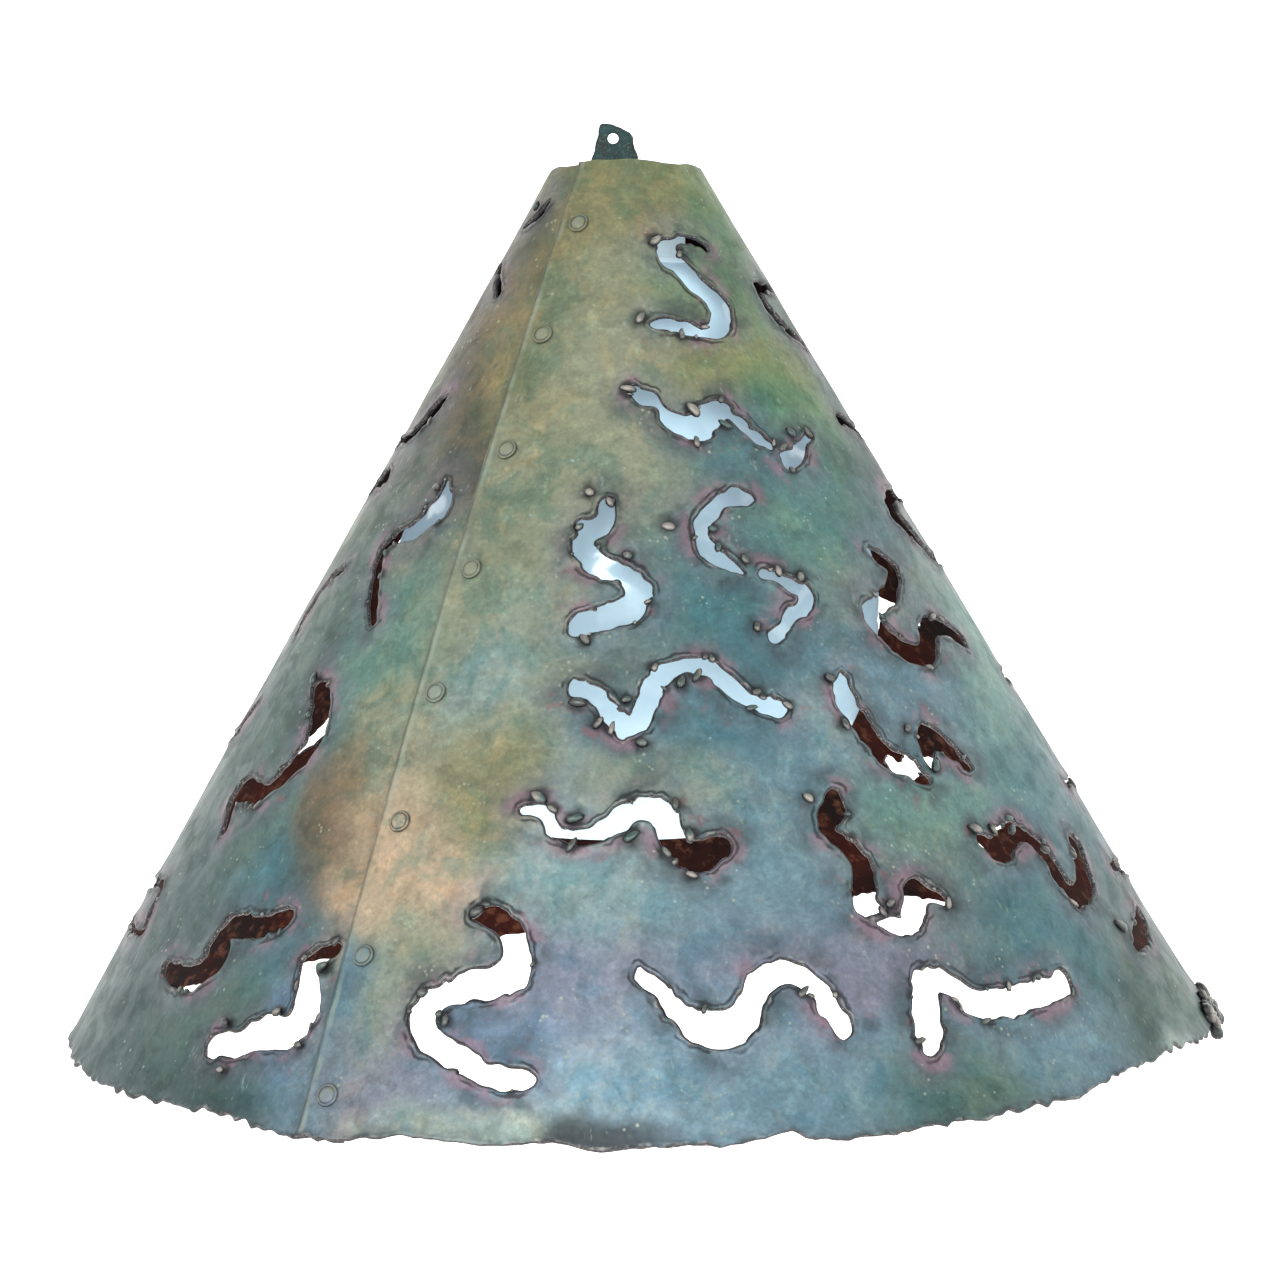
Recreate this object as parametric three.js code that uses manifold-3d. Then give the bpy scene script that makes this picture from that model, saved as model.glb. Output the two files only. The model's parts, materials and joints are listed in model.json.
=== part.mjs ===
// A pendant lamp: a cone of thin sheet with wandering torch-cut slots, its ends lapped and riveted,
// hung by a small lug, with a lampholder, a screw-cap bulb and an open opal glass inside it.
import * as THREE from "three";
import { mergeVertices } from "three/addons/utils/BufferGeometryUtils.js";
import Module from "manifold-3d";

// Sizes are in mm. Heights are measured up from the shade's rim, and radii out from its axis.
// Angles are in degrees round the axis: 0 is the front, which is -Y, and they grow towards +X.

// What every piece shares
const clearance = 0.3;
const roundSides = 24;
const middleSides = 16;
const smallSides = 8;
const curveSteps = 6;
const softEdge = 1;
const overrun = 2;
const headCrown = 0.86;
const headBrow = 0.7;

// Shade
const rimRadius = 203;
const topRadius = 26.8;
const shadeHeight = 302;
const sheet = 1.2;
const rimWander = 0.8;
const rimWaves = [7, 19];
const sheetColumns = 38;
const sheetRows = 4;

// Lap of the sheet's two ends, and the row of rivets through it
const lapAngle = -30.4;
const lapLean = -4.6;
const lapWidth = 16;
const lapEase = 1;
const lapFade = 30;
const lapBlend = 45;
const rivetCount = 8;
const rivetInset = 8;
const lowestRivet = 9.5;
const topRivetGap = 23;
const rivetShank = 1.9;
const rivetHead = 3.65;
const rivetHeadHeight = 0.9;
const rivetTailRadius = 3.3;
const rivetTailGap = 0.45;
const rivetReach = 5;

// Torch cuts
const cutStep = 6;
const cutReach = 0.08;
const cutFold = 0.85;
const cutTrim = 0.75;
const cutEndSteps = 4;

// Top plate, and the bead of braze that holds it in the shade
const plateThickness = 2.5;
const plateDrop = 3;
const plateGap = 0.5;
const beadWidth = 2.6;
const beadHeight = 1.6;

// Hanging lug
const lugSide = -4.3;
const lugDepth = -8.3;
const lugThickness = 2;
const lugWidth = 13.2;
const lugFlare = 17.8;
const lugRise = 17.8;
const lugFoot = 11.4;
const lugBend = 1;
const lugWaist = 2;
const lugFootRound = 5.3;
const lugHole = 1.9;
const lugHoleRise = 12.5;
const lugRivetSpacing = 10;
const lugRivetShank = 1.5;
const lugRivetHead = 2.9;
const lugRivetHeadHeight = 1.2;

// Threaded nipple, its nuts and washer, and the bush that the flex comes in through
const nippleRadius = 5;
const nippleBore = 3.5;
const nippleProud = 4.2;
const nippleLength = 20;
const nutAcrossFlats = 13;
const nutThickness = 3;
const washerRadius = 10;
const washerThickness = 1.2;
const bushCollar = 4.7;
const bushCollarHeight = 1;
const bushBore = 2.2;
const bushLength = 11;

// Lampholder
const holderRadius = 18.4;
const holderWall = 2;
const holderCapHeight = 24;
const holderSkirtHeight = 10;
const holderDomeHeight = 7.3;
const holderDomeSteps = 3;
const holderFlangeWidth = 4.3;
const holderLength = 28;
const holderTuck = 6;
const coreThickness = 10;
const screwShellRadius = 13.9;
const threadPitch = 3.6;
const threadDepth = 0.5;
const terminalSpacing = 19;
const terminalShank = 1.6;
const terminalHead = 2.9;
const terminalHeadHeight = 2.2;
const terminalFloor = 3;
const terminalPoint = 1;
const slotWidth = 0.8;
const slotDepth = 1;
const contactWidth = 6;
const contactStrip = 0.6;
const contactDrop = 2.4;
const contactStudProud = 1;

// Ring that holds the glass up against the lampholder
const ringHeight = 9;
const ringWall = 4.3;
const ringFlangeWidth = 4;
const ringFlangeHeight = 2.5;

// Opal glass
const glassWall = 3;
const neckGap = 0.9;
const shoulderWidth = 11.7;
const glassSteps = 7;

// Bulb
const bulbRadius = 30;
const bulbLength = 106;
const bulbWall = 1;
const bulbShoulder = 26;
const bulbShoulderPull = 14;
const bulbNeckPull = 12;
const bulbCapRadius = 12.6;
const bulbCapLength = 18;
const bulbCapWall = 0.7;
const bulbCrownRadius = 10;
const bulbCrownHole = 5.9;
const bulbCrownRise = 1;
const bulbCollarHeight = 3;
const bulbCollarRadius = 7.5;
const bulbCollarTop = 5;
const bulbContactRadius = 4.5;
const bulbContactHeight = 1.5;
const bulbTuck = 6;
const globeSteps = 3;

// The cuts that can be seen from the front and the sides: the middle of each as [angle, height, width]
const cuts = [
  // bottom row
  [[-90, 48, 5], [-80, 53.6, 5], [-72.4, 55, 4], [-71.4, 48, 4], [-70.6, 41.6, 4], [-78, 39.6, 4],
    [-88, 38, 4]],
  [[-41, 56.8, 7], [-43.4, 54, 8], [-49.2, 50.8, 8], [-50, 46.6, 9.5], [-49, 42.2, 10], [-50.6, 36.8, 10],
    [-53.4, 34.2, 9], [-58, 36, 5]],
  [[-32.4, 49.8, 5], [-35.2, 45.4, 6], [-34.6, 39, 9], [-34, 31, 9], [-35, 25.4, 10], [-38.4, 23.8, 11],
    [-41, 19.8, 9], [-43.4, 18.6, 9]],
  [[-16.6, 62, 7], [-13.6, 58, 7.5], [-12.2, 51, 8.5], [-12.6, 45, 11], [-16.4, 42, 10], [-19.6, 38.2, 8.5],
    [-20.7, 32, 8.5], [-19.2, 26, 8.5], [-16, 21.4, 8], [-13.2, 18.2, 8], [-10.6, 16.7, 8]],
  [[0.2, 45.4, 5], [2, 40.5, 5.5], [4, 34.5, 8], [6.8, 29.8, 12], [9.2, 32, 11], [11.6, 42, 8], [14, 45, 8],
    [16.2, 42.6, 7], [17.9, 36, 6.2], [19.1, 28.8, 6.4]],
  [[27.2, 20.6, 7], [27.6, 26, 9.5], [28.2, 33, 9], [29.4, 39, 9], [31.8, 36.4, 8.5], [34, 30.4, 9.5],
    [38, 29.4, 9.5], [43.4, 30.8, 9], [46.4, 31.6, 8.5]],
  [[65.2, 33.4, 5], [67.4, 35.4, 9], [70.4, 36.8, 10], [73.2, 39.8, 9]],
  [[73, 56.6, 4], [78, 54.4, 6], [84, 51.6, 7], [90, 47, 7]],
  // second row
  [[-54.6, 125.4, 6], [-52.2, 123, 9], [-49.6, 112, 11], [-50, 105, 10], [-53.4, 94, 7], [-56, 90.6, 8],
    [-61, 90.6, 9], [-62, 86, 6], [-60.6, 78, 3.6]],
  [[-13, 91.3, 5], [-11, 90.8, 5.6], [-9.6, 86, 5], [-7, 83.8, 5.4], [-4.4, 85, 6.2], [-1.6, 90, 8],
    [1, 92, 8.5], [3.2, 89, 9.5], [4.2, 82, 9], [6.8, 78.2, 10.5], [9.3, 80.8, 8]],
  [[24.6, 94, 5], [23.7, 89, 9], [22.5, 84.6, 6.5], [23.6, 79.6, 6], [25.6, 74, 6.5], [25.4, 68, 8],
    [24.7, 63, 8.5], [26.2, 57.4, 7.5], [28.6, 54.8, 7], [30.4, 58.6, 8.5], [31.6, 63.8, 8.5], [34.2, 60, 5]],
  [[44.4, 75, 6], [46.2, 72, 9.5], [48.4, 74.4, 10.5], [51, 76, 9], [53.6, 73.6, 6.5], [55, 67, 7],
    [55.6, 59, 8], [57.4, 53.8, 9], [60, 54.6, 10.5], [62.4, 60.4, 10.5], [64, 67, 9]],
  [[74.6, 84, 3.5], [80, 83.4, 4], [86, 82.6, 4.5], [94, 80.8, 5.5]],
  // third row
  [[-65.6, 163.4, 3], [-69.6, 161, 4.5], [-73.6, 156, 5], [-76, 149, 5.5], [-76, 141, 4]],
  [[-75, 116.6, 3], [-77, 112, 5], [-79, 106, 4], [-86, 103, 4]],
  [[-7.9, 127.2, 6], [-5.6, 125.6, 6.5], [-3.2, 119.8, 6.5], [-1, 115.6, 6.4], [1, 119, 6.4], [2.8, 128, 6.8],
    [5, 132.8, 7], [7.6, 133.4, 5.6], [10.6, 133, 6], [13.2, 128.2, 6.5], [16, 123, 6], [19.6, 120.2, 6.6]],
  [[31.2, 127.4, 5], [30.7, 121.6, 8], [31.8, 114.4, 8], [33.6, 104.4, 8], [36, 101, 8.5], [39.2, 95.8, 4.6]],
  [[41.5, 99.4, 3.8], [41.6, 105.4, 7], [42.8, 108.2, 9], [44.8, 105.4, 8], [47.6, 98, 5]],
  [[80, 121, 5], [87, 120.4, 6], [94, 117, 7]],
  // fourth row
  [[-42.8, 192, 3], [-42, 186.4, 7.5], [-43.6, 180.4, 9], [-47.2, 176, 8], [-51, 174.4, 5], [-53.4, 171, 4],
    [-52.8, 164, 4.8], [-48.8, 151.4, 4.6], [-47, 146.6, 3.4]],
  [[-5, 184.6, 5.6], [-4.8, 180, 6], [-7.4, 175.4, 10], [-8.2, 170, 8.5], [-6, 165.4, 8], [-2.6, 163, 7.6],
    [0.4, 159.6, 8.5], [0.8, 154.4, 9], [-1.6, 150.6, 9.5], [-8.4, 146.6, 8]],
  [[23, 186, 6], [20.4, 186, 6.4], [17, 183.8, 5], [14.2, 180, 6], [12.9, 174.6, 5], [13.6, 169.4, 6.5],
    [15.6, 165.8, 6.4], [18.8, 162.4, 3.2]],
  [[22.8, 161.4, 4.6], [25.2, 160.2, 4], [27.4, 157.4, 5.4], [29.8, 154.4, 6.5], [28.4, 150.6, 5.5],
    [26, 148.6, 4], [24.2, 145, 3.6], [22.2, 142, 6]],
  [[49.2, 167, 5], [51.4, 164.2, 6], [53.4, 160.6, 7], [51.6, 156.4, 6.5], [48.4, 152.4, 7], [45, 150, 7.5],
    [42.2, 147.6, 8], [42.6, 142, 8], [44.6, 136.8, 8], [47.6, 133.2, 8.5], [51, 133, 8.5], [53.8, 138.6, 9],
    [56.4, 142, 8], [59.4, 140.6, 8], [64.6, 135.6, 6]],
  [[90, 185.4, 6], [78, 185, 6.5], [69, 183.6, 7], [66.2, 178.4, 9], [69.6, 172, 8], [74, 166, 7],
    [80, 162, 6], [90, 160.4, 4]],
  // fifth row
  [[-58, 222, 2.6], [-62.4, 217.6, 5.5], [-65.2, 212.4, 6], [-69.4, 208, 4.6], [-76, 207.4, 4],
    [-86, 206.6, 4]],
  [[-69.6, 193, 3], [-73, 194, 8], [-80, 191, 8]],
  [[1.8, 221.4, 5], [4.2, 219.6, 6.5], [7.2, 216.8, 3.6], [10, 212, 7], [13.6, 209.2, 9], [17, 210, 10],
    [20.4, 213.2, 10], [23.4, 215.6, 5], [26.6, 211.4, 5], [29.6, 206, 5], [32.8, 202.6, 4.2]],
  [[46.6, 205.6, 3.5], [43.2, 203.2, 5], [40, 199.2, 6.5], [36.4, 197.4, 7]],
  [[65.6, 210.8, 4], [68.4, 212, 5], [74, 209.4, 5], [80, 207.6, 5], [90, 206.8, 5.5]],
  // top row
  [[-52, 288.6, 2], [-56.6, 285, 4], [-62, 282.4, 4.4], [-68, 281, 2.6]],
  [[-58, 257.2, 2.4], [-63, 260.8, 3], [-69, 264.6, 4], [-78, 268.4, 4]],
  [[37.4, 271.2, 2.4], [33, 273, 2.8], [26, 273.6, 3.4], [19, 272, 5.5], [17.4, 268.6, 7], [21.6, 264.4, 7],
    [26.6, 259, 7], [31.6, 253.6, 7], [33.6, 248.4, 6.6], [31, 243.8, 6.6], [26.4, 242, 4.4],
    [20, 242.6, 5], [10.4, 244, 5]],
  [[74, 258.4, 4], [66, 258, 4], [58.4, 256.8, 5], [60.6, 250, 5], [65, 244, 5], [73.4, 237, 3]],
];

// How the back repeats them: [turn, way round, the places of those cuts in the list]
const backRepeats = [
  [184, -1, [8, 9, 11, 15, 16, 17, 19, 20, 21, 22, 23, 27, 28, 32]],
  [190, -1, [10]],
  [147, -1, [1, 4]],
  [256, -1, [5]],
  [258, -1, [4]],
  [200, 1, [2]],
];

// The outside of the glass, from its shoulder down to its open bottom, as [radius, drop from its top]
const glassOutline = [[39, 5], [48, 22], [62, 52], [77, 82], [86, 105], [88, 121], [86, 141],
  [80, 160], [69, 178.5], [56, 190.5], [46, 199]];

// Worked out from the sizes above
const slope = (rimRadius - topRadius) / shadeHeight;
const halfAngle = Math.atan(slope);
const tipHeight = rimRadius / slope;
const lapStep = sheet + clearance;
const highestRivet = shadeHeight - topRivetGap;
const plateTop = shadeHeight - plateDrop;
const plateBottom = plateTop - plateThickness;
const lugBase = plateTop + clearance;
const nippleHole = nippleRadius + clearance;
const nippleTop = plateTop + nippleProud;
const nippleBottom = nippleTop - nippleLength;
const washerTop = plateBottom - clearance;
const lowerNutTop = washerTop - washerThickness - clearance;
const holderTop = lowerNutTop - nutThickness - clearance;
const holderCapBottom = holderTop - holderCapHeight;
const holderBore = holderRadius + clearance;
const glassTop = holderCapBottom - clearance;
const glassNeck = holderRadius + neckGap;
const glassShoulder = glassNeck + shoulderWidth;
const ringTop = glassTop - glassWall - clearance;
const holderBottom = holderCapBottom - holderLength;
const coreTop = holderCapBottom + holderTuck - clearance;
const coreBottom = coreTop - coreThickness;
const screwShellTop = coreBottom - clearance;
const bulbTop = screwShellTop - contactDrop - contactStrip - clearance;

const wasm = await Module();
wasm.setup();

// A closed geometry as a solid that can be joined and cut.
function solid(geometry) {
  const bare = geometry.clone();
  bare.deleteAttribute("normal");
  bare.deleteAttribute("uv");
  const merged = mergeVertices(bare, 1e-3);
  const vertProperties = merged.attributes.position.array;
  const triVerts = new Uint32Array(merged.index.array);
  return new wasm.Manifold(new wasm.Mesh({ numProp: 3, vertProperties, triVerts }));
}

// The geometry of such a solid.
function geometryOf(made) {
  const { vertProperties, triVerts } = made.getMesh();
  const geometry = new THREE.BufferGeometry();
  geometry.setAttribute("position", new THREE.BufferAttribute(vertProperties, 3));
  geometry.setIndex(new THREE.BufferAttribute(triVerts, 1));
  geometry.computeVertexNormals();
  return geometry;
}

// A solid of revolution about the Z axis, from a profile of [radius, height].
function turned(profile, sides = roundSides) {
  const points = profile.map(([radius, height]) => new THREE.Vector2(radius, height));
  return new THREE.LatheGeometry(points, sides).rotateX(Math.PI / 2);
}

// A flat ring about the Z axis.
function ring(inner, outer, bottom, top, sides = roundSides) {
  return turned([[inner, bottom], [outer, bottom], [outer, top], [inner, top], [inner, bottom]], sides);
}

// A round bar to cut with, along Z, at a place.
function drill(radius, x, y, bottom, top, sides = smallSides) {
  const bar = new THREE.CylinderGeometry(radius, radius, top - bottom, sides);
  return bar.rotateX(Math.PI / 2).translate(x, y, (bottom + top) / 2);
}

// An outline drawn on two axes, standing at a place and run on by a depth, square to both.
function prism(outline, depth, across, up, place) {
  const along = new THREE.Vector3().crossVectors(across, up);
  const stand = new THREE.Matrix4().makeBasis(across, up, along).setPosition(place);
  const run = new THREE.ExtrudeGeometry(outline, { depth, bevelEnabled: false, curveSegments: curveSteps });
  return run.applyMatrix4(stand);
}

const alongX = new THREE.Vector3(1, 0, 0);
const alongY = new THREE.Vector3(0, 1, 0);
const alongZ = new THREE.Vector3(0, 0, 1);

// The shade's outer radius at a height, and its inner one.
function outside(height) {
  return rimRadius - slope * height;
}

function inside(height) {
  return outside(height) - sheet / Math.cos(halfAngle);
}

// The point at an angle and a height on the shade's outer face, lifted off it by lift.
function onShade(angle, height, lift = 0) {
  const radius = outside(height) + lift * Math.cos(halfAngle);
  const turn = THREE.MathUtils.degToRad(angle);
  return new THREE.Vector3(
    radius * Math.sin(turn),
    -radius * Math.cos(turn),
    height + lift * Math.sin(halfAngle),
  );
}

// The sheet laid flat is a fan about the cone's tip, on which lengths are true.
function flatten(angle, height) {
  const reach = (tipHeight - height) / Math.cos(halfAngle);
  const turn = THREE.MathUtils.degToRad(angle) * Math.sin(halfAngle);
  return new THREE.Vector2(reach * Math.sin(turn), -reach * Math.cos(turn));
}

// The point on the shade that a point of the flat sheet is rolled to, carried round by a turn.
function rollUp(x, y, turn) {
  const angle = THREE.MathUtils.radToDeg(Math.atan2(x, -y)) / Math.sin(halfAngle);
  const height = tipHeight - Math.hypot(x, y) * Math.cos(halfAngle);
  return onShade(angle + turn, height);
}

// The direction square out of the shade at an angle and a height.
function outward(angle, height) {
  return onShade(angle, height, 1).sub(onShade(angle, height));
}

// The angle of the lap's outer edge at a height, and the angle that a width takes up there.
function lapEdge(height) {
  return lapAngle + (lapLean * height) / shadeHeight;
}

function degreesOf(width, height) {
  return THREE.MathUtils.radToDeg(width / outside(height));
}

// How far the sheet stands off the cone: by one thickness over the lap, then fading away.
function lapLift(sweep, height) {
  const start = degreesOf(lapWidth, height) + lapEase;
  return lapStep * (1 - THREE.MathUtils.smoothstep(sweep, start, start + lapFade));
}

// Rows crowd towards the top, each radius a fixed share of the one below, and the bottom one wanders.
function rowHeight(row, angle) {
  const radius = rimRadius * (topRadius / rimRadius) ** (row / sheetRows);
  const turn = THREE.MathUtils.degToRad(angle);
  const waves = rimWaves.map((count) => Math.sin(count * turn + count) / rimWaves.length);
  const wander = row === 0 ? waves[0] + waves[1] : 0;
  return (rimRadius - radius) / slope + rimWander * wander;
}

// The angle of a column at a height: both ends have two columns to the lap, and the rest stand evenly,
// straight up the cone except where they lean with the lap.
function columnAngle(column, height) {
  const start = lapEdge(height);
  const lap = degreesOf(lapWidth, height);
  const toEnd = sheetColumns - column;
  if (column < 2) return start + (column * lap) / 2;
  if (toEnd < 2) return start + 360 + lap - (toEnd * lap) / 2;
  const even = THREE.MathUtils.mapLinear(column, 2, sheetColumns - 2, 0, 360);
  const last = 360 - lapBlend;
  if (even < lapBlend) return THREE.MathUtils.mapLinear(even, 0, lapBlend, start + lap, lapAngle + lapBlend);
  if (even > last) return THREE.MathUtils.mapLinear(even, last, 360, lapAngle + last, start + 360);
  return lapAngle + even;
}

// The rolled sheet before it is cut, one end lapped over the other.
function sheetGeometry() {
  const positions = [];
  for (let row = 0; row <= sheetRows; row++) {
    for (let column = 0; column <= sheetColumns; column++) {
      const level = rowHeight(row, 0);
      const angle = columnAngle(column, level);
      const height = rowHeight(row, angle);
      const lift = lapLift(angle - lapEdge(level), height);
      positions.push(...onShade(angle, height, lift), ...onShade(angle, height, lift - sheet));
    }
  }
  const outer = (row, column) => (row * (sheetColumns + 1) + column) * 2;
  const inner = (row, column) => outer(row, column) + 1;
  const faces = [];
  const quad = (a, b, c, d) => faces.push(a, b, d, b, c, d);
  for (let row = 0; row < sheetRows; row++) {
    for (let column = 0; column < sheetColumns; column++) {
      const [next, above] = [column + 1, row + 1];
      quad(outer(row, column), outer(row, next), outer(above, next), outer(above, column));
      quad(inner(row, column), inner(above, column), inner(above, next), inner(row, next));
    }
  }
  for (let column = 0; column < sheetColumns; column++) {
    const next = column + 1;
    quad(outer(0, column), inner(0, column), inner(0, next), outer(0, next));
    quad(outer(sheetRows, column), outer(sheetRows, next), inner(sheetRows, next), inner(sheetRows, column));
  }
  for (let row = 0; row < sheetRows; row++) {
    const above = row + 1;
    const last = sheetColumns;
    quad(outer(row, 0), outer(above, 0), inner(above, 0), inner(row, 0));
    quad(outer(row, last), inner(row, last), inner(above, last), outer(above, last));
  }
  const geometry = new THREE.BufferGeometry();
  geometry.setAttribute("position", new THREE.Float32BufferAttribute(positions, 3));
  geometry.setIndex(faces);
  return geometry;
}

// An outline without the points that stray too little from the line between their neighbours.
function thinned(outline) {
  const kept = [...outline];
  for (;;) {
    const strays = kept.map((point, index) => {
      const before = kept.at(index - 1);
      const along = kept[(index + 1) % kept.length].clone().sub(before);
      return Math.abs(along.cross(point.clone().sub(before))) / along.length();
    });
    const least = Math.min(...strays);
    if (least > cutTrim) return kept;
    kept.splice(strays.indexOf(least), 1);
  }
}

// The outline of a cut on the flat sheet: each side of its middle line, with round ends.
function cutOutline(cut) {
  const middle = new THREE.CatmullRomCurve3(
    cut.map(([angle, height, width]) => {
      const { x, y } = flatten(angle, height);
      return new THREE.Vector3(x, y, width / 2);
    }),
  );
  const count = Math.ceil(middle.getLength() / cutStep);
  const spine = middle.getSpacedPoints(count);
  const sideOf = (index, side) => {
    const [before, after] = [spine[Math.max(index - 1, 0)], spine[Math.min(index + 1, count)]];
    const heading = Math.atan2(after.y - before.y, after.x - before.x);
    return heading + (side * Math.PI) / 2;
  };
  const around = (index, turn) => {
    const { x, y, z: reach } = spine[index];
    return new THREE.Vector2(x + reach * Math.cos(turn), y + reach * Math.sin(turn));
  };
  const apart = (one, other) => Math.hypot(one.x - other.x, one.y - other.y);
  const outline = [];
  for (const side of [-1, 1]) {
    const order = spine.map((_, index) => (side < 0 ? index : count - index));
    for (const index of order) {
      const point = around(index, sideOf(index, side));
      const folded = spine.some((other) => apart(point, other) < other.z * cutFold);
      if (!folded) outline.push(point);
    }
    const end = order[count];
    for (let step = 1; step < cutEndSteps; step++) {
      outline.push(around(end, sideOf(end, side) + (step * Math.PI) / cutEndSteps));
    }
  }
  return new THREE.Shape(thinned(outline));
}

// A cut, carried round by a turn, as a solid that passes through the sheet and tapers to a point of the axis.
function cutter(cut, turn = 0) {
  const cap = new THREE.ShapeGeometry(cutOutline(cut));
  const { count } = cap.attributes.position;
  const [, height] = cut[Math.floor(cut.length / 2)];
  const tip = new THREE.Vector3(0, 0, height - outside(height) * slope);
  const positions = [];
  const faces = [...cap.index.array];
  for (let index = 0; index < count; index++) {
    const { x, y } = new THREE.Vector3().fromBufferAttribute(cap.attributes.position, index);
    positions.push(...rollUp(x, y, turn).lerp(tip, -cutReach));
    faces.push(index, (index + 1) % count, count);
  }
  const geometry = new THREE.BufferGeometry();
  geometry.setAttribute("position", new THREE.Float32BufferAttribute([...positions, ...tip], 3));
  geometry.setIndex(faces);
  return solid(geometry);
}

// A cut as it is, or turned left for right where its way is -1.
function repeated(cut, way) {
  return cut.map(([angle, height, width]) => [way * angle, height, width]);
}

// Geometry made about the origin with Z outward, set square on the shade at an angle and a height.
function placedOnShade(geometry, angle, height) {
  const facing = new THREE.Quaternion().setFromUnitVectors(alongZ, outward(angle, height));
  const place = onShade(angle, height);
  return geometry.applyQuaternion(facing).translate(place.x, place.y, place.z);
}

function rivetPlace(index) {
  const height = lowestRivet + ((highestRivet - lowestRivet) * index) / (rivetCount - 1);
  return [lapEdge(height) + degreesOf(rivetInset, height), height];
}

function shadeGeometry() {
  let made = solid(sheetGeometry());
  for (const cut of cuts) made = made.subtract(cutter(cut));
  for (const [turn, way, places] of backRepeats) {
    for (const place of places) made = made.subtract(cutter(repeated(cuts[place], way), turn));
  }
  for (let index = 0; index < rivetCount; index++) {
    const hole = drill(rivetShank + clearance, 0, 0, -rivetReach, rivetReach);
    made = made.subtract(solid(placedOnShade(hole, ...rivetPlace(index))));
  }
  return geometryOf(made);
}

// The outline of a low domed head over its seat.
function domedHead(radius, height, seat) {
  return [[radius, seat], [radius * headCrown, seat + height * headBrow], [0, seat + height]];
}

// A rivet through both thicknesses of the lap: a low head outside and a flatter one inside.
function seamRivetGeometry(index) {
  const seat = lapStep + clearance;
  const tail = -sheet - rivetTailGap;
  const profile = [
    [0, tail - rivetHeadHeight],
    [rivetTailRadius, tail - rivetHeadHeight / 2],
    [rivetTailRadius, tail],
    [rivetShank, tail],
    [rivetShank, seat],
    ...domedHead(rivetHead, rivetHeadHeight, seat),
  ];
  return placedOnShade(turned(profile, smallSides), ...rivetPlace(index));
}

function lugRivetPlaces() {
  const depth = lugDepth - lugThickness / 2 - lugFoot / 2;
  return [-1, 1].map((side) => [lugSide + (side * lugRivetSpacing) / 2, depth]);
}

function topPlateGeometry() {
  const radius = inside(plateTop) - plateGap;
  let made = solid(ring(nippleHole, radius, plateBottom, plateTop));
  for (const [x, y] of lugRivetPlaces()) {
    const hole = drill(lugRivetShank + clearance, x, y, plateBottom - overrun, plateTop + overrun);
    made = made.subtract(solid(hole));
  }
  return geometryOf(made);
}

function brazeBeadGeometry() {
  const bottom = plateTop + clearance;
  const outer = inside(bottom + beadHeight) - plateGap;
  return turned([[outer - beadWidth, bottom], [outer, bottom], [outer, bottom + beadHeight],
    [outer - beadWidth, bottom]]);
}

// The lug is a bent strip: its side view, its front view and its plan each trim it.
function hangingLugGeometry() {
  const back = lugDepth + lugThickness / 2;
  const front = lugDepth - lugThickness / 2;
  const toe = front - lugFoot;
  const heel = lugBend + lugThickness;
  const top = lugBase + lugRise;
  const side = new THREE.Shape();
  side.moveTo(toe, lugBase);
  side.lineTo(back - heel, lugBase);
  side.absarc(back - heel, lugBase + heel, heel, -Math.PI / 2, 0);
  side.lineTo(back, top);
  side.lineTo(front, top);
  side.lineTo(front, lugBase + heel);
  side.absarc(back - heel, lugBase + heel, lugBend, 0, -Math.PI / 2, true);
  side.lineTo(toe, lugBase + lugThickness);
  const [half, flare] = [lugWidth / 2, lugFlare / 2];
  const stripEnd = new THREE.Vector3(lugSide - flare - overrun, 0, 0);
  const strip = prism(side, lugFlare + 2 * overrun, alongY, alongZ, stripEnd);

  const shoulder = top - half;
  const view = new THREE.Shape();
  view.moveTo(-flare, lugBase - overrun);
  view.lineTo(flare, lugBase - overrun);
  view.lineTo(flare, lugBase + heel);
  view.quadraticCurveTo(half, lugBase + heel + lugWaist, half, shoulder);
  view.absarc(0, shoulder, half, 0, Math.PI);
  view.quadraticCurveTo(-half, lugBase + heel + lugWaist, -flare, lugBase + heel);
  const faceEnd = new THREE.Vector3(lugSide, back + overrun, 0);
  const face = prism(view, lugFoot + lugThickness + 2 * overrun, alongX, alongZ, faceEnd);

  const round = lugFootRound;
  const plan = new THREE.Shape();
  plan.moveTo(-flare - overrun, back + overrun);
  plan.lineTo(-flare, toe + round);
  plan.absarc(-flare + round, toe + round, round, Math.PI, 1.5 * Math.PI);
  plan.absarc(flare - round, toe + round, round, 1.5 * Math.PI, 2 * Math.PI);
  plan.lineTo(flare + overrun, back + overrun);
  const footEnd = new THREE.Vector3(lugSide, 0, lugBase - overrun);
  const foot = prism(plan, lugRise + 2 * overrun, alongX, alongY, footEnd);

  const hole = new THREE.CylinderGeometry(lugHole, lugHole, 3 * lugThickness, smallSides);
  hole.translate(lugSide, lugDepth, lugBase + lugHoleRise);
  let made = solid(strip).intersect(solid(face)).intersect(solid(foot)).subtract(solid(hole));
  const drillTop = lugBase + lugThickness + overrun;
  for (const [x, y] of lugRivetPlaces()) {
    made = made.subtract(solid(drill(lugRivetShank + clearance, x, y, lugBase - overrun, drillTop)));
  }
  return geometryOf(made);
}

function lugRivetGeometry([x, y]) {
  const seat = lugBase + lugThickness + clearance;
  const tail = plateBottom - clearance;
  const profile = [
    [0, tail - lugRivetHeadHeight],
    [lugRivetHead, tail - lugRivetHeadHeight / 2],
    [lugRivetHead, tail],
    [lugRivetShank, tail],
    [lugRivetShank, seat],
    ...domedHead(lugRivetHead, lugRivetHeadHeight, seat),
  ];
  return turned(profile, smallSides).translate(x, y, 0);
}

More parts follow.
